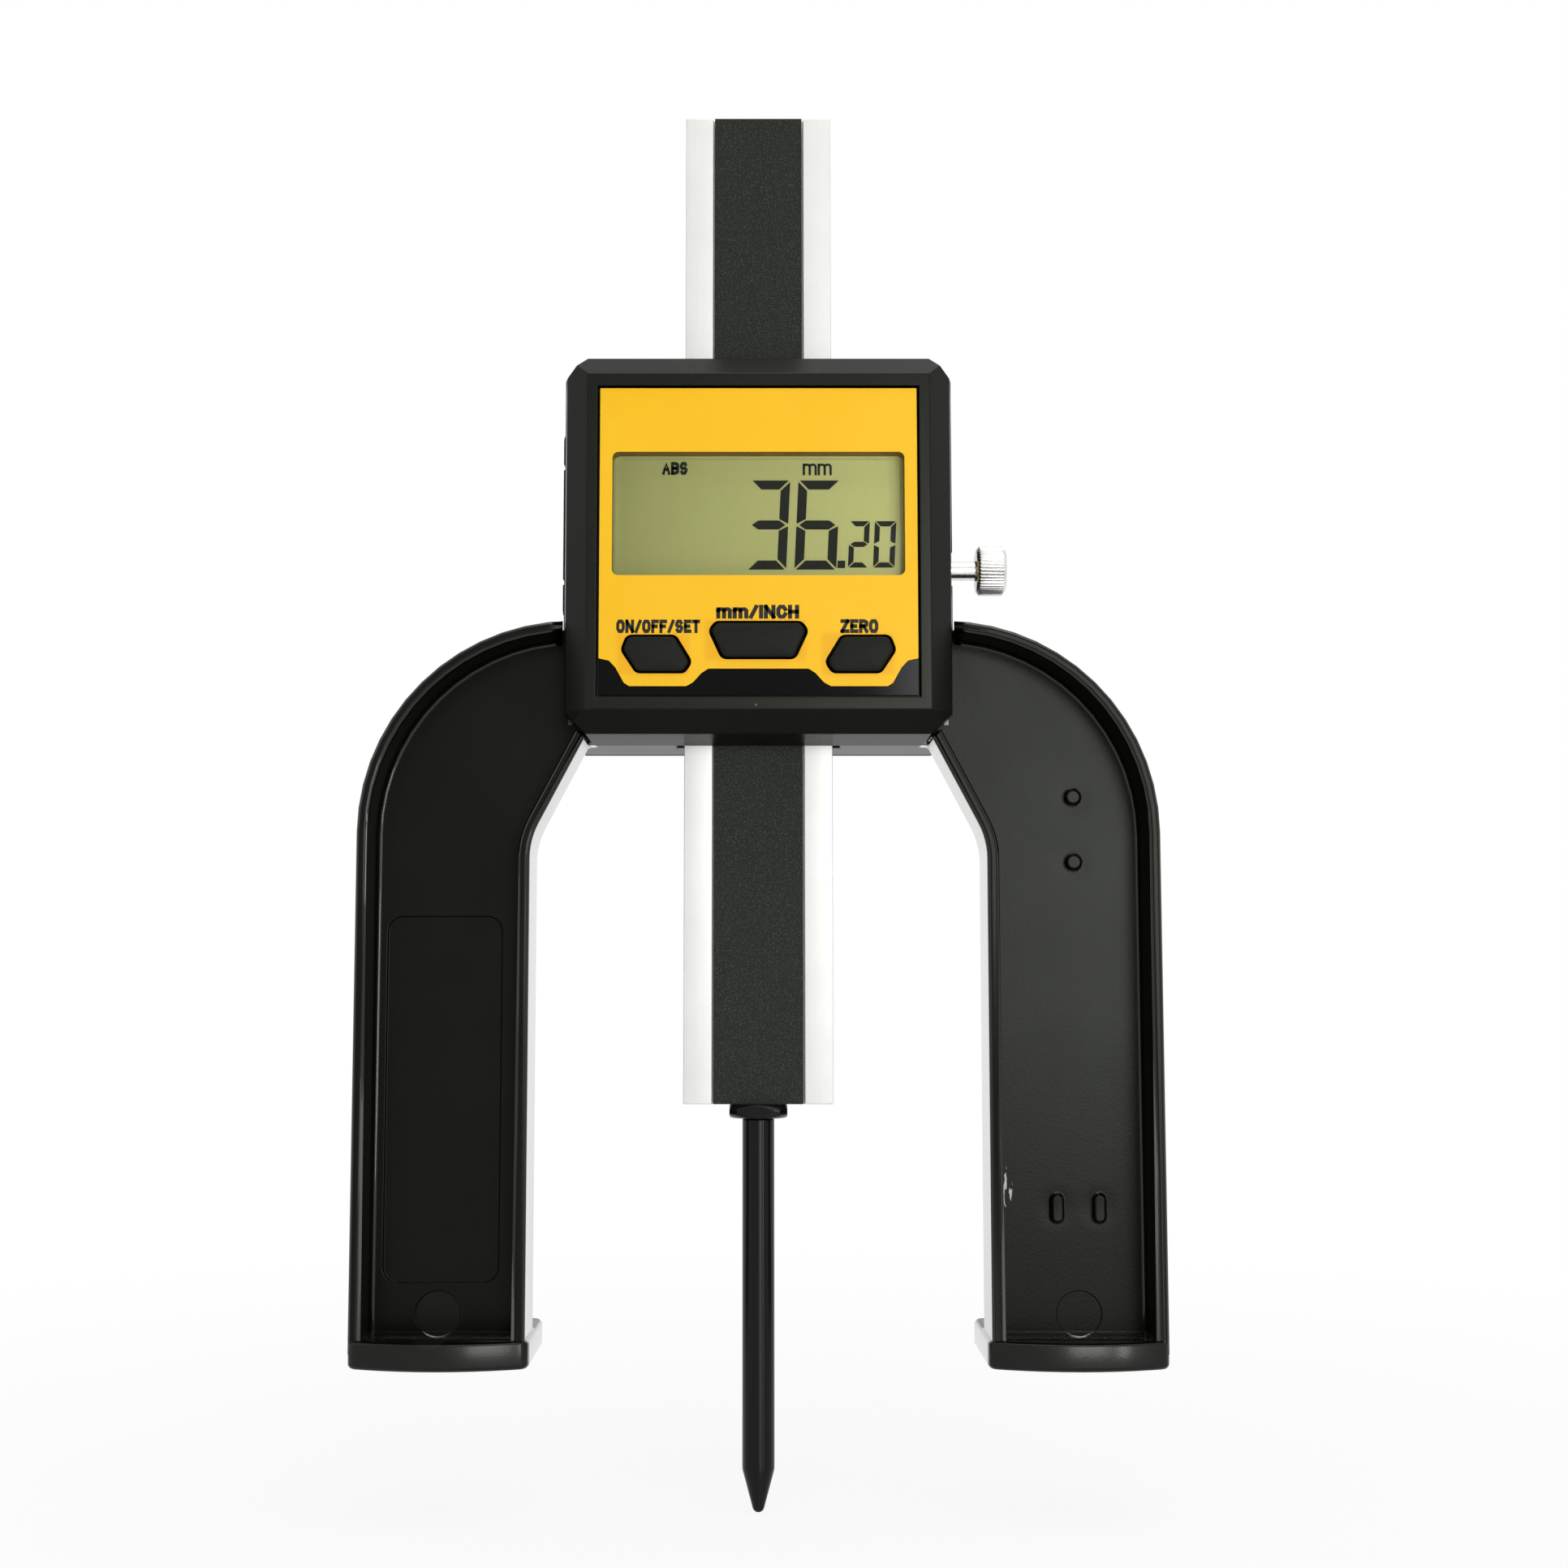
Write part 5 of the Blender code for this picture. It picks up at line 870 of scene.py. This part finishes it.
cover_look = plastic("black_abs_bezel", (0.0050, 0.0056, 0.0042), (0.0066, 0.0073, 0.0056), rough=0.28,
                     drift=0.06, grain=0.0003, depth=0.000008, dust=0.2, Specular_IOR_Level=SLOPE_LEVELS[0],
                     Specular_Tint=(0.97, 1.0, 0.9, 1))


def warm_window(look):
    """The walls of the window's opening look brown, because the film throws its yellow on them."""
    tree, shader = look.node_tree, shader_of(look)
    x, y, z = axes_of(tree)
    off = maths(tree, "ABSOLUTE", maths(tree, "SUBTRACT", z, WINDOW_Z))
    inside = product(tree, *[between(tree, value, reach, reach - 0.0001)
                             for value, reach in zip((maths(tree, "ABSOLUTE", x), off), WINDOW_REACH)])
    feed(shader, {"Base Color": tinted(tree, inside, fed_by(shader, "Base Color"), WARM_BROWN)})


warm_window(cover_look)
tree = cover_look.node_tree
low_slope = between(tree, axes_of(tree)[2], LOW_SLOPE_Z, LOW_SLOPE_Z - 0.0003)
feed(shader_of(cover_look), {"Specular IOR Level": blend(tree, low_slope, *SLOPE_LEVELS)})
dressed("bezel", "front_cover", "stand", cover_look, COVER_EDGE)

SEAM_GAP = 0.0003
TONGUE_IN = 0.0006
TONGUE_WIDE = 0.0006
TONGUE_PLAY = 0.00001
CORNER_ROOM = 0.0028
RAIL_ROOM = 0.0115
INSERT_ROOM = 0.0029
REAR_SPLIT = 0.0001


def seam_tongue(name, source, front_y, middle_room, insert_z=()):
    """Tongue on the body's edge that closes a seam: straight strips a little inside the outline of the
    piece that sits on it. They stop at the corners, at the room left in the middle of the top and the
    bottom, and at the thumbscrew's insert, given by its lower and its upper height."""
    low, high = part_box(source)
    bottom, top = low.z + CORNER_ROOM, high.z - CORNER_ROOM
    far = high.x - TONGUE_IN
    near = far - TONGUE_WIDE
    strips = []
    for side, breaks in ((-1, ()), (1, insert_z)):
        for start, end in zip((bottom, *breaks[1:]), (*breaks[:1], top)):
            strips.append([(side * near, start), (side * far, start), (side * far, end), (side * near, end)])
    for edge, inward in ((low.z, 1), (high.z, -1)):
        outer, inner = edge + inward * TONGUE_IN, edge + inward * (TONGUE_IN + TONGUE_WIDE)
        for side in (-1, 1):
            start, end = side * middle_room, side * (high.x - CORNER_ROOM)
            strips.append([(start, outer), (end, outer), (end, inner), (start, inner)])
    sheet_pieces(name, strips, front_y + TONGUE_PLAY, SEAM_GAP - 2 * TONGUE_PLAY, arch_look)


low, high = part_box("lock_screw")
lock_z = (low.z + high.z) / 2
seam_tongue("front_seam_tongue", "front_cover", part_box("front_cover")[1].y, RAIL_ROOM,
            (lock_z - INSERT_ROOM, lock_z + INSERT_ROOM))
seam_tongue("rear_seam_tongue", "rear_cover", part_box("rear_cover")[0].y - SEAM_GAP, REAR_SPLIT)


# Panel: a gloss black acrylic plate in the bezel's recess, and over it a printed yellow film that
# is stepped round the keys. A clear window covers the display.

gloss_look = plastic("gloss_black_acrylic", (0.0016, 0.0016, 0.0015), (0.0024, 0.0024, 0.0022), rough=0.09,
                     drift=0.04, grain=0.002, depth=0.0000005, dust=0.4, Specular_IOR_Level=0.08)
warm_window(gloss_look)
repaint(gloss_look, "face_plate")
# Painted shade: round each key the film's yellow is darkened towards orange, shifted to the key's left,
# where the key's shade falls on the film.
KEY_SHADE_SHIFT = 0.0004
KEY_SHADE_REACH = 0.0009
KEY_SHADE_SHARE = 0.3
KEY_SHADE_ORANGE = (0.72, 0.24, 0.008, 1)
LIP_WIDTH = 0.0007
film_look = plastic("yellow_printed_film", (0.90, 0.500, 0.012), (0.91, 0.520, 0.017), rough=0.42,
                    drift=0.06, grain=0.00025, depth=0.000003, dust=0.0, Specular_IOR_Level=0.15)
tree = film_look.node_tree
colour = fed_by(shader_of(film_look), "Base Color")
# Painted shade round each key: strongest at the key's outline, gone at the reach.
for key_name in ("button_left", "button_center", "button_right"):
    low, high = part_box(key_name)
    middle = ((low.x + high.x) / 2 - KEY_SHADE_SHIFT, 0, (low.z + high.z) / 2)
    half = ((high.x - low.x) / 2 - LIP_WIDTH, 1, (high.z - low.z) / 2 - LIP_WIDTH)
    off = vector_maths(tree, "ABSOLUTE", vector_maths(tree, "SUBTRACT", object_place(tree), middle))
    off = vector_maths(tree, "MAXIMUM", vector_maths(tree, "SUBTRACT", off, half), (0, 0, 0))
    key_shade = product(tree, between(tree, vector_maths(tree, "LENGTH", off), KEY_SHADE_REACH, 0.0), KEY_SHADE_SHARE)
    colour = tinted(tree, key_shade, colour, KEY_SHADE_ORANGE)
feed(shader_of(film_look), {"Base Color": colour})
dressed("printed_film", "face_label", "stand", film_look, width=0.00005, angle=40,
        segments=2)

pane_look = new_look("clear_window")
tree = pane_look.node_tree
tree.nodes.clear()
clear = node(tree, "BsdfTransparent", {"Color": (0.985, 0.99, 0.98, 1)}).outputs[0]
haze = ramp(tree, noise(tree, object_place(tree), 900.0, 3.0), 0.0, 1.0, 0.03, 0.09)
shine = node(tree, "BsdfGlossy", {"Color": WHITE, "Roughness": haze}).outputs[0]
slant = node(tree, "Fresnel", {"IOR": 1.1}).outputs[0]
pane = node(tree, "MixShader", {0: slant, 1: clear, 2: shine})
node(tree, "OutputMaterial", {"Surface": pane.outputs[0]})
repaint(pane_look, "display_lens")

LABEL_FRONT_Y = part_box("face_label")[0].y
LABEL_PEN = 0.27
label_ink_look = plastic("black_label_ink", (0.006, 0.0055, 0.004), (0.009, 0.008, 0.006), rough=0.5,
                         drift=0.05, grain=0.0002, depth=0.000001, dust=0.0, Specular_IOR_Level=0.2)
for name, text, low_corner, high_corner in (
        ("word_power", "ON/OFF/SET", (-0.0185, 0.1141), (-0.0076, 0.11605)),
        ("word_units", "mm/INCH", (-0.0056, 0.1160), (0.0053, 0.1180)),
        ("word_zero", "ZERO", (0.0106, 0.1141), (0.0156, 0.1161))):
    word(name, text, low_corner, high_corner, LABEL_FRONT_Y, label_ink_look, LABEL_PEN)


# Keys: three moulded black rubber keys with rounded tops. Each has a lip behind the cover and a
# plunger that reaches the snap dome on the board.

KEY_CORNER = 0.0008
KEY_EDGE = 0.00045
KEY_CROWN = 0.00022
LIP_THICK = 0.0008
PLUNGER_RADIUS = 0.0015
SIDE_SHARES = ((-0.426, 0.5), (-0.5, 0.122), (-0.289, -0.5), (0.408, -0.5), (0.5, -0.233), (0.271, 0.5))
CENTRE_SHARES = ((-0.44, 0.5), (-0.5, 0.28), (-0.372, -0.5), (0.372, -0.5), (0.5, 0.28), (0.44, 0.5))

rubber_look = plastic("black_key_rubber", (0.0135, 0.0145, 0.0118), (0.0155, 0.0165, 0.0135), rough=0.5,
                      drift=0.1, grain=0.0002, depth=0.000006, dust=0.2, Specular_IOR_Level=0.05)


def key(name, source, body, shares, mirror):
    """Key as stacked outlines along Y. From the face back: a crown that falls with the square of the
    distance from the middle, a quarter-round edge, straight sides, the lip, and a round plunger."""
    low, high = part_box(source)
    wide, tall = high.x - low.x - 2 * LIP_WIDTH, high.z - low.z - 2 * LIP_WIDTH
    middle = np.array([(low.x + high.x) / 2, (low.z + high.z) / 2])
    outline = rounded(np.asarray(shares) * (mirror * wide, tall), KEY_CORNER)
    normal = outward(outline)
    inner = outline - normal * KEY_EDGE
    rows = [(inner * part, low.y + KEY_CROWN * part ** 2) for part in np.linspace(0.02, 1, 9)]
    for angle in np.linspace(0, pi / 2, 7)[1:]:
        rows.append((outline - normal * KEY_EDGE * (1 - np.sin(angle)),
                     low.y + KEY_CROWN + KEY_EDGE * (1 - np.cos(angle))))
    lip = outline + normal * LIP_WIDTH
    lip_back = LCD_FRONT_Y + LIP_THICK
    turn = np.arctan2(outline[:, 1], outline[:, 0])
    plunger = PLUNGER_RADIUS * np.stack([np.cos(turn), np.sin(turn)], axis=-1)
    rows += [(outline, LCD_FRONT_Y), (lip, LCD_FRONT_Y), (lip, lip_back), (plunger, lip_back),
             (plunger, high.y)]
    grid = np.stack([np.insert(ring + middle, 1, depth, axis=1) for ring, depth in rows])
    made = skin(name, grid, rubber_look)
    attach(made, body)
    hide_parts(source)


key("left_key_cap", "button_left", "key_left", SIDE_SHARES, 1)
key("center_key_cap", "button_center", "key_center", CENTRE_SHARES, 1)
key("right_key_cap", "button_right", "key_right", SIDE_SHARES, -1)


# Lock: a brass insert pressed into the head's right side, a brass shoe that bears on the rail's
# edge, and a nickel-plated thumbscrew with a straight knurl and chamfered ends.

KNURL_RIDGES = 44
RIDGE_COLUMNS = 6
RIDGE_POWER = 0.6
KNURL_DEPTH = 0.00016
HEAD_LENGTH = 0.0039
HEAD_RADIUS = 0.00334
FACE_RADIUS = 0.00284
ROOT_RADIUS = HEAD_RADIUS - KNURL_DEPTH
CHAMFER_ENDS = (0.00028, 0.00045)
SHANK_RADIUS = 0.0013
POINT_RADIUS = 0.0010
POINT_LENGTH = 0.0003
NECK_FILLET = 0.0002
DISH_RADII = (0.0019, 0.0016, 0.00005)
DISH_DEEP = 0.0002

brass_look = metal("turned_brass", (0.80, 0.60, 0.28), (0.62, 0.44, 0.18), rough=0.28, drift=0.15,
                   lines=(9000, 500, 500), depth=0.000001, Metallic=1.0)
repaint(brass_look, "screw_insert")
dressed("brass_shoe", "lock_pad", "lock_shoe", brass_look, width=0.0001)

low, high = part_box("lock_screw")
head_x = high.x - HEAD_LENGTH
turn = full_turn(KNURL_RIDGES * RIDGE_COLUMNS)
ridge = (0.5 + 0.5 * np.cos(KNURL_RIDGES * turn)) ** RIDGE_POWER
stations = np.array([
    (low.x, POINT_RADIUS, 0), (low.x + POINT_LENGTH, SHANK_RADIUS, 0),
    (head_x - NECK_FILLET, SHANK_RADIUS, 0), (head_x, SHANK_RADIUS + NECK_FILLET, 0),
    (head_x, FACE_RADIUS, 0), (head_x + CHAMFER_ENDS[0], ROOT_RADIUS, 0.2),
    (head_x + CHAMFER_ENDS[1], ROOT_RADIUS, 1),
    (high.x - CHAMFER_ENDS[1], ROOT_RADIUS, 1), (high.x - CHAMFER_ENDS[0], ROOT_RADIUS, 0.2),
    (high.x, FACE_RADIUS, 0), (high.x, DISH_RADII[0], 0), (high.x - DISH_DEEP, DISH_RADII[1], 0),
    (high.x - DISH_DEEP, DISH_RADII[2], 0)])
along, root, cut = stations.T
screw_radius = root[:, None] + KNURL_DEPTH * cut[:, None] * ridge
screw_grid = lathe(along, screw_radius, "X", ((low.y + high.y) / 2, lock_z), turn)
thumbscrew = skin("knurled_thumbscrew", screw_grid, nickel_look)
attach(thumbscrew, "thumbscrew")
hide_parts("lock_screw")


# Drawer: an ABS tray that slides out of the left side with a 20 mm coin cell in it. The cell is a
# pressed stainless can with a crimped rim, and a bent brass leaf touches it from the front.

CELL_POLE = 0.0001
CELL_FRONT = ((0.0, 0.0016), (0.0001, 0.0013), (0.0003, 0.0012), (0.00035, 0.0007), (0.00045, 0.0002),
              (0.0007, 0.0))
CELL_BACK = ((0.0006, 0.0), (0.0002, 0.00015), (0.0, 0.0006))

repaint(brass_look, "battery_contact")
dressed("drawer_tray", "battery_drawer", "drawer", back_look, width=0.00012)
steel_look = metal("stainless_can", (0.78, 0.78, 0.77), (0.66, 0.66, 0.66), rough=0.25, drift=0.12,
                   lines=(1500, 300, 1500), depth=0.000001, Metallic=1.0)
low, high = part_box("coin_cell")
cell_radius = (high.x - low.x) / 2
cell_centre = ((low.x + high.x) / 2, (low.z + high.z) / 2)
cell_profile = [(low.y, CELL_POLE), *[(low.y + deep, cell_radius - inset) for deep, inset in CELL_FRONT],
                *[(high.y - deep, cell_radius - inset) for deep, inset in CELL_BACK], (high.y, CELL_POLE)]
cell_along, cell_out = np.array(cell_profile).T
cell = skin("cell_can", lathe(cell_along, cell_out, "Y", cell_centre, full_turn(96)), steel_look)
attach(cell, "drawer")
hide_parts("coin_cell")
